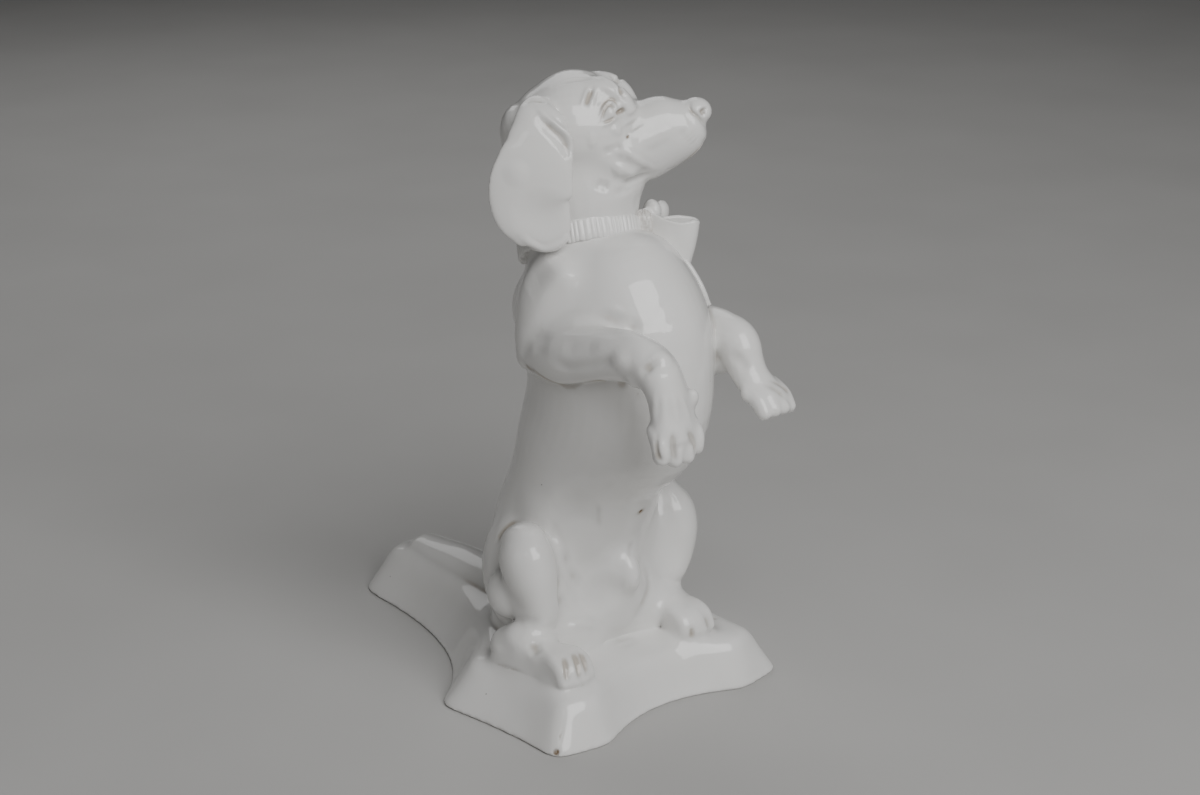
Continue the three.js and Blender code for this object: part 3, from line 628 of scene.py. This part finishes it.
WRIST_STROKES = [
    ([(620, 362)], 9, 1.3, 0),
    ([(646, 362), (653, 371)], 9, -1.2, 0),
    ([(662, 359)], 9, 1.4, 0),
    ([(655, 394), (653, 423)], 3.2, 0.5, 0),
    ([(664, 394), (664, 425)], 3.2, 0.5, 0),
    ([(673, 394), (678, 425)], 3.2, 0.5, 0),
    ([(680, 394), (691, 423)], 3.2, 0.5, 0),
]
figure.strokes(WRIST_STROKES)
figure.feel()
FINE_STROKES = [
    ([(524, 364), (534, 371), (550, 381), (571, 386), (603, 381), (623, 384), (638, 388)], 2.4, -1.3, 0.2),
    ([(524, 363), (529, 369), (536, 373)], 1.8, -0.8, 0.5),
    ([(496, 545), (500, 534), (508, 526), (518, 521)], 3, -1.2, 0.08),
    ([(512, 619), (522, 620), (532, 621), (542, 619)], 4, -0.5, 0.12),
    ([(597, 504), (598, 528)], 2.4, -0.5, 0),
    ([(632, 542), (631, 558)], 2.8, -0.7, 0),
    ([(644, 566), (649, 582), (645, 600), (635, 618)], 5, -1.0, 0.05),
    ([(567, 626), (583, 624), (599, 626)], 3.5, 0.7, 0),
    ([(615, 646), (627, 642), (632, 640)], 3, 0.7, 0),
    ([(657, 434), (657, 453), (662, 462)], 1.8, -1.2, 0.1),
    ([(672, 432), (673, 446), (675, 461)], 1.8, -1.2, 0.1),
    ([(687, 430), (693, 441), (695, 454)], 1.8, -1.2, 0.1),
    ([(763, 383), (777, 391), (790, 403)], 1.6, -0.6, 0),
    ([(768, 379), (781, 386), (792, 396)], 1.6, -0.6, 0),
    ([(730, 352), (742, 362), (748, 372)], 5, -1.0, 0),
    ([(579, 651), (584, 662), (587, 680)], 1.7, -1.2, 0.12),
    ([(571, 651), (577, 665), (579, 682)], 1.7, -1.2, 0.12),
    ([(563, 656), (566, 670), (567, 684)], 1.7, -1.2, 0.12),
    ([(691, 626), (692, 638)], 1.5, -1.0, 0.4),
    ([(697, 608), (707, 622), (710, 636)], 1.5, -0.8, 0),
    ([(705, 606), (714, 618), (718, 632)], 1.5, -0.8, 0),
    ([(634, 393), (639, 397)], 3, -0.2, 0.3),
    ([(489, 647), (492, 650), (487, 655)], 2.2, -0.3, 0.32),
    ([(491, 663), (509, 668), (525, 674)], 1.6, -0.3, 0.34),
    ([(641, 511.4)], 1.6, -1.8, 2.0),
    ([(562, 728), (559, 744)], 1.3, -0.1, 0.45),
    ([(552.5, 751), (556.5, 752.5), (560, 752.5)], 3, -1.0, 0.9),
]
figure.strokes(FINE_STROKES)
figure.even(1)
figure.feel()
skin = figure.surface()

# Head: skull, muzzle and neck pressed hollow in a mould of their own, and turned to the dog's left.
# It is luted to the body inside the collar, and brows, cheeks and eyes are pressed on as lumps of clay.
HEAD_TURN = math.radians(49)
NECK_SEAT = np.array([-2, 34, 276.76])


def headed(rows):
    """Rows set out from the neck, with the muzzle along -Y, turned to where the head looks."""
    rows = np.array(rows, float)
    x, y = rows[:, 0].copy(), rows[:, 1].copy()
    rows[:, 0] = x * math.cos(HEAD_TURN) - y * math.sin(HEAD_TURN) + NECK_SEAT[0]
    rows[:, 1] = x * math.sin(HEAD_TURN) + y * math.cos(HEAD_TURN) + NECK_SEAT[1]
    rows[:, 2] += NECK_SEAT[2]
    return rows


def facing(direction):
    """A direction as the head has it, turned to where the head looks."""
    x, y, z = direction
    across = x * math.cos(HEAD_TURN) - y * math.sin(HEAD_TURN)
    return (across, x * math.sin(HEAD_TURN) + y * math.cos(HEAD_TURN), z)


def head_lump(name, middle, half, turn=(0, 0, 0)):
    """An oval lump set out from the neck, turned with the head."""
    place = headed([middle])[0]
    return pellet(name, place, half, (turn[0], turn[1], turn[2] + math.degrees(HEAD_TURN)))


head_clay = [
    roll("skull", headed([
        (0, 33, 59, 20, 20, 24),
        (0, 23.5, 61, 29, 27, 28),
        (0, 8.3, 63, 32.5, 34.5, 30),
        (0, -6, 63, 31, 33, 30),
        (0, -14, 63, 28.5, 28, 30),
        (0, -21, 62, 25.5, 22, 30),
        (0, -28, 61, 22.5, 19, 29),
        (0, -35, 60.5, 20, 20, 27),
        (0, -44, 61.5, 17.5, 21.2, 24),
        (0, -53, 63, 16, 20, 19.2),
        (0, -60.5, 65.4, 14, 16.4, 15.8),
        (0, -64.2, 67, 11.5, 14.5, 12),
    ]), face=UP, sides=40, tips=(0.7, 0.5)),
    roll("neck", [
        (*(COLLAR_MIDDLE - COLLAR_AXIS), 32.5, 32.5, 33.5),
        (*(COLLAR_MIDDLE + COLLAR_AXIS * 5), 32, 32.5, 33.5),
        *headed([(0.6, 2, 18, 32, 36, 35), (0, 4, 32, 32.5, 41, 37), (0, 6, 50, 29, 29, 33)]),
    ], face=facing(AHEAD), tips=(0.03, 0.6)),
    head_lump("nose", (0, -65, 74.3), (9.2, 9.2, 8)),
]
# Each row: the side's sign, and how far its brow stands ahead and lower.
BROWS = [(-1, 0, 0), (1, 0.8, 1.2)]
for side, ahead, drop in BROWS:
    head_clay += [
        roll(f"brow_{side}", headed([
            (side * 7, 2 - ahead, 88.5 - drop, 8, 7, 8),
            (side * 10, -8 - ahead, 89.4 - drop, 8, 7.2, 8),
            (side * 12, -15.5 - ahead, 87.4 - drop, 8, 7.2, 8),
            (side * 13, -21.5 - ahead, 82.6 - drop, 7.5, 7, 7.5),
            (side * 13.5, -26.5 - ahead, 77 - drop, 6.5, 5.5, 6),
        ]), face=UP, sides=24, tips=(0.6, 0.5)),
        head_lump(f"cheek_{side}", (side * 16, -14, 53), (12.5, 24, 18)),
        head_lump(f"eye_{side}", (side * 20, -15, 77.6), (6.4, 7, 6.8)),
    ]

# Ears: flaps of clay beaten thin and luted to the sides of the skull, so that they hang to the collar.
# The far one is swung a little forward and lower.
EARS = [("right", -1, 0.0), ("left", 1, 8.0)]
for name, side, swing in EARS:
    head_clay.append(roll(f"ear_{name}_clay", headed([
        (side * 22, 25 - swing * 0.1, 85 - swing, 7, 4, 4),
        (side * 31, 25 - swing * 0.2, 80.5 - swing, 12, 4.8, 4.8),
        (side * 37, 24 - swing * 0.3, 73 - swing, 16.5, 4.6, 4.4),
        (side * 40.5, 24 - swing * 0.4, 64 - swing, 19, 4.4, 4.2),
        (side * 43, 26 - swing * 0.5, 54 - swing, 21.8, 4.2, 4),
        (side * 44.5, 28.3 - swing * 0.6, 42 - swing, 24, 4, 3.8),
        (side * 44.5, 28.2 - swing * 0.7, 30 - swing, 22.8, 3.9, 3.7),
        (side * 43.5, 23.5 - swing * 0.8, 18 - swing, 18.8, 3.8, 3.6),
        (side * 42.5, 20.8 - swing * 0.9, 9.5 - swing, 14.2, 3.5, 3.5),
        (side * 41.5, 20.6 - swing, 4.5 - swing, 8, 3, 3),
    ]), face=facing((side, 0, 0.1)), sides=40, tips=(0.5, 0.5)))


def other_cheek(path):
    """The same places on the head's left, across the middle line of the face."""
    off = path - MIDDLE - NECK_SEAT
    middle_line = np.array([math.cos(HEAD_TURN), math.sin(HEAD_TURN), 0])
    return path - 2 * np.outer(off @ middle_line, middle_line)


HEAD_GRAIN = 0.68
head = Clay("head_clay", head_clay, HEAD_GRAIN)
head.even(8)
head.fill(90, np.full(len(head.points), 0.5))
SOFT_FACE = [(-18, -30, 52), (18, -30, 52), (-22, 0, 40), (22, 0, 40), (0, -8, 92), (0, 20, 30)]
FACE_REACH = 24
head.fill(120, head.near(headed(SOFT_FACE), FACE_REACH))
head.even(3)
head.feel()
FACE_STROKES = [
    ([(630, 121), (636, 131)], 9, -1.2, 0),
    ([(640, 136.7), (650, 140.2), (661, 134.2), (668, 125.6)], 6, 0.8, 0),
    ([(592, 72.5), (603, 77.8), (611, 82.2), (618, 90), (623, 98.5)], 2.6, 0.8, 0),
    ([(611, 75), (616, 82), (621, 90), (626, 99)], 2.6, -2.2, 0.1),
    ([(554, 87), (570, 81), (587, 79), (596, 80)], 2.4, -0.8, 0),
    ([(599, 89), (607, 93.3), (614, 99), (620, 103.3)], 3.5, -0.8, 0),
    ([(591.7, 89), (588.3, 98), (585.6, 106.7)], 2.7, -1.3, 0),
    ([(589, 86.7), (585, 96.7), (582, 106.7)], 2.4, 0.8, 0),
    ([(597, 86.7), (594, 95.6), (590, 106.7)], 2.4, 0.7, 0),
    ([(612, 126.5), (618, 130), (622, 131)], 4, 0.9, 0),
    ([(590.6, 132.8), (592.8, 142.2), (595.6, 144.4)], 4, 0.5, 0),
    ([(602, 152.2), (609, 150.6), (617, 147.2), (623, 143.6)], 3.6, -0.9, 0),
    ([(623, 147.8), (630, 153.3), (637, 157.8), (646, 164.4), (653, 169.4)], 3.2, 0.9, 0),
    ([(609, 157.2), (618, 158.3), (626, 162.8), (634, 168.3), (646, 172.2)], 4.2, -1.1, 0),
    ([(612, 173.3), (620, 171.1), (629, 172.2), (637, 174)], 6, 1.2, 0),
    ([(621, 186.1), (627, 182.2), (633, 179.4), (643, 176.1), (654, 173.3)], 3.6, -1.2, 0),
    ([(612, 193.3), (622, 191.1), (631, 187.8)], 3.4, -0.8, 0),
    ([(594, 183.3), (603, 185.6), (610, 187.8)], 4.5, -1.2, 0),
    ([(680, 131), (685, 135)], 4, -0.4, 0),
]
head.strokes(FACE_STROKES, other_cheek)
head.even(2)
head.feel()
LID_STROKES = [
    ([(599, 118), (601, 110), (604.4, 103.4), (608.3, 99.6), (612.8, 99.6), (617.2, 103)], 1.6, -0.5, 0),
    ([(599, 122), (600, 116), (601.8, 110.5), (604.6, 105.4), (607.8, 102.4), (611, 102.2), (614.2, 105),
        (616.6, 109), (618, 112.5)], 1.6, 0.9, 0),
    ([(601, 126), (605, 125), (609.5, 123.2), (613.6, 120.6), (617, 117.2)], 1.6, 0.6, 0),
    ([(601, 122.5), (602.2, 116), (604, 111), (606.4, 107), (609, 105), (611.6, 106), (614, 109.4),
        (615.6, 113)], 1.0, -0.6, 0.08),
    ([(602, 123.4), (606, 122), (610, 120.2), (613.6, 117.8), (616, 115)], 1.0, -0.5, 0.08),
    ([(616.3, 114.4), (619, 112.2), (622, 110.6), (624.4, 107.8)], 2.2, -2.4, 0.5),
    ([(626.4, 138), (629.6, 135.6)], 1.1, -0.8, 1.0),
    ([(705, 138), (702, 144.4), (695.6, 152.2), (688, 159), (679, 164.4), (668, 169.4)], 1.4, -1.5, 0.25),
    ([(700.2, 114.4), (701.7, 111.1), (704.4, 109.4), (707.8, 109.1)], 2.0, -2.0, 0.5),
    ([(703.5, 113)], 2.8, -1.8, 0.5),
    ([(690, 102.2), (690, 109), (693.3, 113.3), (698, 117), (702, 122), (705.6, 127)], 1.5, -0.9, 0),
    ([(694.4, 131), (683.3, 141)], 1.0, -0.25, 0),
    ([(696.7, 134), (686.7, 143.3)], 1.0, -0.25, 0),
    ([(699, 136.7), (690, 145.6)], 1.0, -0.25, 0),
]
head.strokes(LID_STROKES, other_cheek)
EAR_STROKES = [
    ([(538, 115), (548, 127), (558, 137), (566, 147), (570, 159)], 5.5, -2.0, 0),
    ([(537, 106), (546, 117), (556, 126), (566, 134), (571, 143), (572, 155), (572, 167)], 3, 1.6, 0),
    ([(525, 104), (530, 100.6), (538, 100.6), (547, 102.6)], 2.2, -1.4, 0.15),
    ([(522, 236), (531, 244), (544, 249), (559, 244), (567, 238), (570, 230)], 3.6, 1.0, 0),
    ([(540, 215)], 18, -1.6, 0),
    ([(516, 173)], 9, 0.9, 0),
]
head.strokes(EAR_STROKES, other_cheek)
head.even(1)
head.feel()


# Glaze: a thick warm white tin glaze fired to a gloss, with grey painted shade laid into its hollows and
# creases.
# Old dirt has stayed brown in the deep creases, and a few pinholes are left where gas broke through.
GLAZE_WHITE = "e6e5e3"
GLAZE_CLOUDED = "e1e0dd"
# Grey of the painted shade in hollows and creases, where shade falls.
PAINTED_CREASE_SHADE = "cac9c6"
GRIME_BROWN = "6f5a40"
STAIN_BROWN = "a4937c"
PINHOLE_BROWN = "4a3c2c"
# How the concavity mask is smoothed and scaled. It carries the painted crease shade and the brown stain.
CREASE_ROUNDS = 12
CREASE_BEND = 0.043


def linear(code):
    """A colour written as sRGB hex, in the linear light that the shader takes."""
    parts = [int(code[i:i + 2], 16) / 255 for i in (0, 2, 4)]
    return [p / 12.92 if p <= 0.04045 else ((p + 0.055) / 1.055) ** 2.4 for p in parts] + [1.0]


def node(tree, kind, links=(), **settings):
    """A shader node with its settings and its incoming links."""
    made = tree.nodes.new(kind)
    for name, value in settings.items():
        if name in made.bl_rna.properties:
            setattr(made, name, value)
        else:
            made.inputs[name.replace("_", " ")].default_value = value
    for socket, source in links:
        tree.links.new(source, made.inputs[socket])
    return made


def grey(level):
    return (level, level, level, 1)


def ramp(tree, source, stops):
    """A value turned into a colour, through stops of position and colour."""
    made = node(tree, "ShaderNodeValToRGB", [("Fac", source)])
    points = made.color_ramp.elements
    points[0].position, points[0].color = stops[0]
    points[1].position, points[1].color = stops[-1]
    for position, colour in stops[1:-1]:
        points.new(position).color = colour
    return made.outputs["Color"]


def mix(tree, share, a, b):
    """One colour laid over another, each a hex code or another node's output."""
    made = node(tree, "ShaderNodeMix", data_type="RGBA")
    tree.links.new(share, made.inputs[0])
    for socket, value in ((made.inputs[6], a), (made.inputs[7], b)):
        if isinstance(value, str):
            socket.default_value = linear(value)
        else:
            tree.links.new(value, socket)
    return made.outputs[2]


def bare_material(name):
    made = bpy.data.materials.new(name)
    made.use_nodes = True
    made.node_tree.nodes.clear()
    return made


glaze = bare_material("white_tin_glaze")
tree = glaze.node_tree
BLACK = grey(0)
WHITE = grey(1)
place = node(tree, "ShaderNodeTexCoord").outputs["Object"]
dirt = node(tree, "ShaderNodeAttribute", attribute_name="grime").outputs["Fac"]
crease_shade_and_stain = node(tree, "ShaderNodeAttribute", attribute_name="crease_shade_and_stain").outputs["Fac"]
cloud = node(tree, "ShaderNodeTexNoise", [("Vector", place)], Scale=28.0, Detail=3.0).outputs["Fac"]
cloudy = ramp(tree, cloud, [(0.35, BLACK), (0.75, WHITE)])
speckle = node(tree, "ShaderNodeTexNoise", [("Vector", place)], Scale=420.0, Detail=4.0).outputs["Fac"]
grain = node(tree, "ShaderNodeMath", [(0, dirt), (1, speckle)], operation="MULTIPLY").outputs[0]
grimed = ramp(tree, grain, [(0.12, BLACK), (0.5, WHITE)])
cells = node(tree, "ShaderNodeTexVoronoi", [("Vector", place)], Scale=46.0)
pits = ramp(tree, cells.outputs["Distance"], [(0.012, WHITE), (0.022, BLACK)])
tone = mix(tree, cloudy, GLAZE_WHITE, GLAZE_CLOUDED)
# Grey painted shade laid into hollows and creases by the concavity mask, then a clouded brown stain in the
# same hollows.
tone = mix(tree, crease_shade_and_stain, tone, PAINTED_CREASE_SHADE)
stained = node(tree, "ShaderNodeMath", [(0, crease_shade_and_stain), (1, cloud)], operation="MULTIPLY").outputs[0]
stain = ramp(tree, stained, [(0.26, BLACK), (0.6, grey(0.5))])
tone = mix(tree, stain, tone, STAIN_BROWN)
tone = mix(tree, pits, tone, PINHOLE_BROWN)
tone = mix(tree, grimed, tone, GRIME_BROWN)
wave = node(tree, "ShaderNodeTexNoise", [("Vector", place)], Scale=45.0, Detail=1.0).outputs["Fac"]
swell = node(tree, "ShaderNodeBump", [("Height", wave)], Strength=0.16, Distance=0.002).outputs["Normal"]
sheen = ramp(tree, cloud, [(0.3, grey(0.3)), (0.8, grey(0.42))])
shader = node(
    tree, "ShaderNodeBsdfPrincipled",
    [("Base Color", tone), ("Roughness", sheen), ("Normal", swell), ("Coat Normal", swell)],
    Coat_Weight=0.75, Coat_Roughness=0.035, Coat_IOR=1.5, Specular_IOR_Level=0.2,
)
node(tree, "ShaderNodeOutputMaterial", [("Surface", shader.outputs[0])])


def part(clay, names):
    """The fired figure's surface, given out among the pieces that it was luted from."""
    clay.feel()
    # How hollow each point lies, smoothed and scaled: the mask for the painted crease shade and the brown
    # stain.
    hollow = np.clip((clay.lean() * clay.out).sum(1), 0, None)
    for _ in range(CREASE_ROUNDS):
        hollow = 0.5 * hollow + 0.5 * clay.spread(hollow)
    hollow = np.clip(hollow / CREASE_BEND, 0, 1)
    owners = [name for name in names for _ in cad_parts[name].data.polygons]
    corners, polygons = [], []
    for name in names:
        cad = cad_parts[name].data
        first = len(corners)
        corners += [vert.co.copy() for vert in cad.vertices]
        polygons += [[first + k for k in face.vertices] for face in cad.polygons]
    nodes_tree = BVHTree.FromPolygons(corners, polygons)
    middles = clay.points[clay.faces].mean(1) / 1000
    owner = np.array([owners[nodes_tree.find_nearest(Vector(m))[2]] for m in middles])
    for name in names:
        kept = clay.faces[owner == name]
        used, faces = np.unique(kept, return_inverse=True)
        faces = faces.reshape(-1, 4).tolist()
        mesh = bpy.data.meshes.new(f"{name}_glazed")
        mesh.from_pydata((clay.points[used] / 1000).tolist(), [], faces)
        for label, values in (("grime", clay.grime), ("crease_shade_and_stain", hollow)):
            layer = mesh.attributes.new(label, "FLOAT", "POINT")
            layer.data.foreach_set("value", values[used].astype(np.float32))
        mesh.polygons.foreach_set("use_smooth", [True] * len(mesh.polygons))
        mesh.materials.append(glaze)
        mesh.normals_split_custom_set_from_vertices(clay.out[used].tolist())
        piece = bpy.data.objects.new(f"{name}_glazed", mesh)
        bpy.context.collection.objects.link(piece)
        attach(piece, "root")
        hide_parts(name)
    bpy.data.objects.remove(clay.form)


part(figure, [
    "plinth", "torso", "foreleg_right", "foreleg_left", "thigh_right", "thigh_left",
    "hind_foot_right", "hind_foot_left", "tail",
])
part(head, ["head", "ear_right", "ear_left"])


# Collar: a strip of clay laid round the neck and pressed with a rib into small upright pleats.
# It hides the joint of the head, and its pleats are uneven because each was pressed by hand.
COLLAR_HEIGHT = 12.5
COLLAR_REACH = 36.4
COLLAR_DROOP = 8
COLLAR_FLARE = 3.2
PLEATS = 70
PLEAT_DEPTH = 0.95
COLLAR_POINTS = 840
collar_front = unit(np.array(AHEAD) - COLLAR_AXIS * (COLLAR_AXIS @ np.array(AHEAD)))
collar_aside = np.cross(COLLAR_AXIS, collar_front)
collar_turn = 2 * np.pi * np.arange(COLLAR_POINTS) / COLLAR_POINTS


def collar_ring(height, inset, pleated):
    """One level of the collar, from -1 at its lower edge to 1 at its upper."""
    uneven = 0.5 * np.sin(3 * collar_turn + 1) + 0.8 * np.sin(7 * collar_turn)
    uneven = uneven + 0.5 * np.sin(17 * collar_turn + 2)
    pleat = np.abs(np.cos(collar_turn * PLEATS / 2 + uneven + 0.15 * height)) ** 0.7
    strength = 0.75 + 0.25 * np.sin(5 * collar_turn + 2)
    out = COLLAR_REACH - inset + pleated * PLEAT_DEPTH * strength * (pleat - 0.6)
    wave = 0.35 * np.sin(9 * collar_turn) + 0.25 * np.sin(23 * collar_turn + 1)
    behind = np.clip(-np.cos(collar_turn), 0, 1)
    out = out + COLLAR_FLARE * behind
    droop = COLLAR_DROOP * behind ** 1.5
    rise = height * COLLAR_HEIGHT / 2 + wave * (0.4 + 0.6 * abs(height)) - droop
    spots = COLLAR_MIDDLE + np.outer(out * np.cos(collar_turn), collar_front)
    spots = spots + np.outer(out * np.sin(collar_turn), collar_aside) + np.outer(rise, COLLAR_AXIS)
    return at(spots)


collar = pull("collar_glazed", [
    collar_ring(-0.9, 6, 0),
    collar_ring(-1.0, 2.6, 0.5),
    collar_ring(-1.0, 1.3, 0.8),
    collar_ring(-0.93, 0.4, 1),
    collar_ring(-0.75, 0, 1),
    collar_ring(-0.35, -0.1, 1),
    collar_ring(0.1, -0.1, 1),
    collar_ring(0.5, 0, 0.95),
    collar_ring(0.74, 0.15, 0.75),
    collar_ring(0.84, 0.2, 0.4),
    collar_ring(0.93, 0.1, 0.15),
    collar_ring(1.0, 0.5, 0.1),
    collar_ring(1.03, 1.2, 0.1),
    collar_ring(1.0, 2.6, 0),
    collar_ring(0.9, 6, 0),
])


def finish(piece, solid, grime=0.0):
    """Glazes a piece of the ribbon and puts it in the place of its solid."""
    mesh = piece.data
    layer = mesh.attributes.new("grime", "FLOAT", "POINT")
    layer.data.foreach_set("value", np.broadcast_to(grime, len(mesh.vertices)).astype(np.float32))
    mesh.polygons.foreach_set("use_smooth", [True] * len(mesh.polygons))
    mesh.materials.append(glaze)
    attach(piece, "root")
    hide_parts(solid)


finish(collar, "collar")

# Bow: a knot and two loops folded from rolled strips of clay and luted to the collar under the chin.
# The near loop is a flat open tube standing on the chest; the far one has slumped into two lobes.
KNOT = (-4.5, -35, 7.5)
KNOT_HALF = (7.8, 6.2, 9.2)
KNOT_GRIME = 0.42
bpy.ops.object.select_all(action="DESELECT")
bpy.ops.mesh.primitive_uv_sphere_add(segments=48, ring_count=32, radius=1)
knot = bpy.context.object
knot.name = "bow_knot_glazed"
round_knot = np.array([vert.co for vert in knot.data.vertices])
around = np.arctan2(round_knot[:, 0], -round_knot[:, 1])
crease = 1 - 0.12 * np.exp(-((around - 0.25 - 0.2 * round_knot[:, 2]) / 0.16) ** 2)
crease -= 0.1 * np.exp(-((around + 0.7 + 0.3 * round_knot[:, 2]) / 0.2) ** 2)
crease += 0.05 * np.sin(9 * around + 3 * round_knot[:, 2])
squared = np.sign(round_knot) * np.abs(round_knot) ** 0.8
knot_spots = headed(np.array(KNOT) + squared * KNOT_HALF * crease[:, None])
knot.data.vertices.foreach_set("co", at(knot_spots).ravel())
finish(knot, "bow_knot", KNOT_GRIME)


LOOP_STEPS = 8
LOOP_ROWS = 14


def ribbon_loop(name, path, low, high, sag, tuck, thickness):
    """A strip of ribbon on edge along a path over the chest, with its lower edge tucked in."""
    drawn = curve(path, LOOP_STEPS)
    run = np.arange(len(drawn)) / LOOP_STEPS
    edges = np.interp(run, np.arange(len(path)), low)
    tops = np.interp(run, np.arange(len(path)), high)
    bpy.ops.object.select_all(action="DESELECT")
    bpy.ops.mesh.primitive_grid_add(
        x_subdivisions=len(drawn) - 1, y_subdivisions=LOOP_ROWS - 1, size=1)
    strip = bpy.context.object
    strip.name = name
    spots = []
    for share in np.arange(LOOP_ROWS) / (LOOP_ROWS - 1):
        for k, ((x, y), low_z, high_z) in enumerate(zip(drawn, edges, tops)):
            bulge = sag * math.sin(math.pi * share) * math.sin(math.pi * k / (len(drawn) - 1))
            reach = y * (1 + 0.01 * bulge - tuck * (1 - share))
            spots.append((x * (1 + 0.05 * bulge), reach, low_z + (high_z - low_z) * share))
    strip.data.vertices.foreach_set("co", at(headed(spots)).ravel())
    thick = strip.modifiers.new("thick", "SOLIDIFY")
    thick.thickness = thickness / 1000
    thick.offset = 0
    soft = strip.modifiers.new("soft", "SUBSURF")
    soft.levels = 2
    soft.render_levels = 2
    for modifier in (thick, soft):
        bpy.ops.object.modifier_apply(modifier=modifier.name)
    return strip


NEAR_LOOP = [
    (-3, -38), (-6.5, -43), (-10.5, -50), (-12, -58), (-10.5, -64.5), (-6, -66.5), (-1.5, -64), (-1, -56),
    (-2, -48), (-2.5, -42), (-1, -38),
]
NEAR_LOOP_FOOT = [0.5, 0, -4.5, -10.5, -14.5, -14, -12, -7, -3, 1, 2]
NEAR_LOOP_TOP = [15, 15, 12.6, 11.6, 13, 11.5, 12, 13, 12.4, 13, 13]
near_loop = ribbon_loop(
    "bow_loop_right_glazed", NEAR_LOOP, NEAR_LOOP_FOOT, NEAR_LOOP_TOP, sag=1.0, tuck=0.075, thickness=3.2)
finish(near_loop, "bow_loop_right")
FAR_LOOP_GRAIN = 0.5
far_loop = Clay("bow_loop_left_glazed", [
    head_lump("loop_root", (2, -37, 9), (6, 5, 7.5)),
    head_lump("loop_lobe_near", (8, -40.5, 13), (8, 5, 7), (0, 15, 20)),
    head_lump("loop_lobe_far", (13, -46, 11), (7.5, 4.6, 6.8), (0, -10, -15)),
    head_lump("loop_fold", (18, -43, 8), (5, 6, 6)),
], FAR_LOOP_GRAIN)
far_loop.even(6)
far_loop.fill(20, np.full(len(far_loop.points), 0.5))
far_loop.feel()
finish(far_loop.form, "bow_loop_left")

# Ribbon ends: two thin strips that lie on the chest below the bow and run out to points.
# Each was pressed on with a wet finger, so it lies close and its edges are rounded.
CHEST_AXIS = np.array([0, 16, 0])
STRIP_THICK = 2.4
STRIP_SIDES = 28


def ribbon_end(name, turns, heights, halves):
    """A strip laid on the chest, through bearings in degrees round it and heights."""
    line = curve(np.column_stack([turns, heights, halves]), 6)
    spots = []
    for turn, height, _ in line:
        bearing = math.radians(turn)
        start = at(CHEST_AXIS + (0, 0, height))
        spots.append(skin.ray_cast(Vector(start), Vector((math.sin(bearing), -math.cos(bearing), 0)))[0])
    spots = np.array(spots)
    along = unit(np.gradient(spots, axis=0))
    rings = []
    for spot, way, (_, _, half) in zip(spots, along, line):
        out = np.array(skin.find_nearest(Vector(spot))[1])
        aside = unit(np.cross(way, out))
        ring = []
        for angle in 2 * np.pi * np.arange(STRIP_SIDES) / STRIP_SIDES:
            across = math.copysign(abs(math.cos(angle)) ** 0.6, math.cos(angle)) * half / 1000
            close, facing_out = skin.find_nearest(Vector(spot + aside * across))[:2]
            lift = (0.35 + math.sin(angle) * (1 if math.sin(angle) > 0 else 0.6)) * STRIP_THICK / 1000
            ring.append(np.array(close) + np.array(facing_out) * lift)
        rings.append(np.array(ring))
    return pull(name, rings)


right_end = ribbon_end(
    "ribbon_end_right_glazed", [60, 54, 50, 46, 44], [270, 262, 254, 246, 239], [4, 6.5, 7.5, 6, 0.8])
finish(right_end, "ribbon_end_right")
left_end = ribbon_end(
    "ribbon_end_left_glazed", [70, 71, 73, 75, 76], [268, 260, 252, 244, 237], [4, 6.5, 8, 7, 0.8])
finish(left_end, "ribbon_end_left")

# Floor and light: a plain sheet of pale paper, far wider than the figure, that the plinth rests on.
# A large soft box in front lights it, with weaker ones at the side and behind, and a dim pale room.
PAPER_SHADE = "b3b2b0"
PAPER_LIGHT = "b7b6b4"
ROOM_GREY = "c9c9c8"
ROOM_STRENGTH = 0.04
LIGHT_AIM = Vector((0, -0.03, 0.18))
bpy.ops.object.select_all(action="DESELECT")
bpy.ops.mesh.primitive_plane_add(size=12, location=(0, 0, 0))
floor = bpy.context.object
floor.name = "floor"
paper = bare_material("pale_paper")
floor_tree = paper.node_tree
floor_place = node(floor_tree, "ShaderNodeTexCoord").outputs["Object"]
fibre = node(floor_tree, "ShaderNodeTexNoise", [("Vector", floor_place)], Scale=6.0, Detail=2.0)
paper_tone = ramp(floor_tree, fibre.outputs["Fac"], [(0.3, linear(PAPER_SHADE)), (0.7, linear(PAPER_LIGHT))])
matt = node(floor_tree, "ShaderNodeBsdfPrincipled", [("Base Color", paper_tone)], Roughness=0.8)
node(floor_tree, "ShaderNodeOutputMaterial", [("Surface", matt.outputs[0])])
floor.data.materials.append(paper)


def soft_box(name, azimuth, rise, distance, size, watts):
    """A square soft light that looks at the figure's middle."""
    a, e = math.radians(azimuth), math.radians(rise)
    away = Vector((math.sin(a) * math.cos(e), -math.cos(a) * math.cos(e), math.sin(e)))
    bpy.ops.object.light_add(type="AREA", location=LIGHT_AIM + away * distance)
    lamp = bpy.context.object
    lamp.name = name
    lamp.rotation_euler = away.to_track_quat("Z", "Y").to_euler()
    lamp.data.shape = "SQUARE"
    lamp.data.size = size
    lamp.data.energy = watts


soft_box("soft_box_front", -10, 40, 2.4, 1.7, 58)
soft_box("catch_light", -62, 34, 2.4, 0.4, 1.0)
soft_box("soft_box_left", -95, 12, 1.9, 1.2, 2.2)
soft_box("soft_box_back", 155, 40, 2.0, 1.4, 8)
world = bpy.data.worlds.new("pale_room")
world.use_nodes = True
background = world.node_tree.nodes["Background"]
background.inputs["Color"].default_value = linear(ROOM_GREY)
background.inputs["Strength"].default_value = ROOM_STRENGTH
bpy.context.scene.world = world
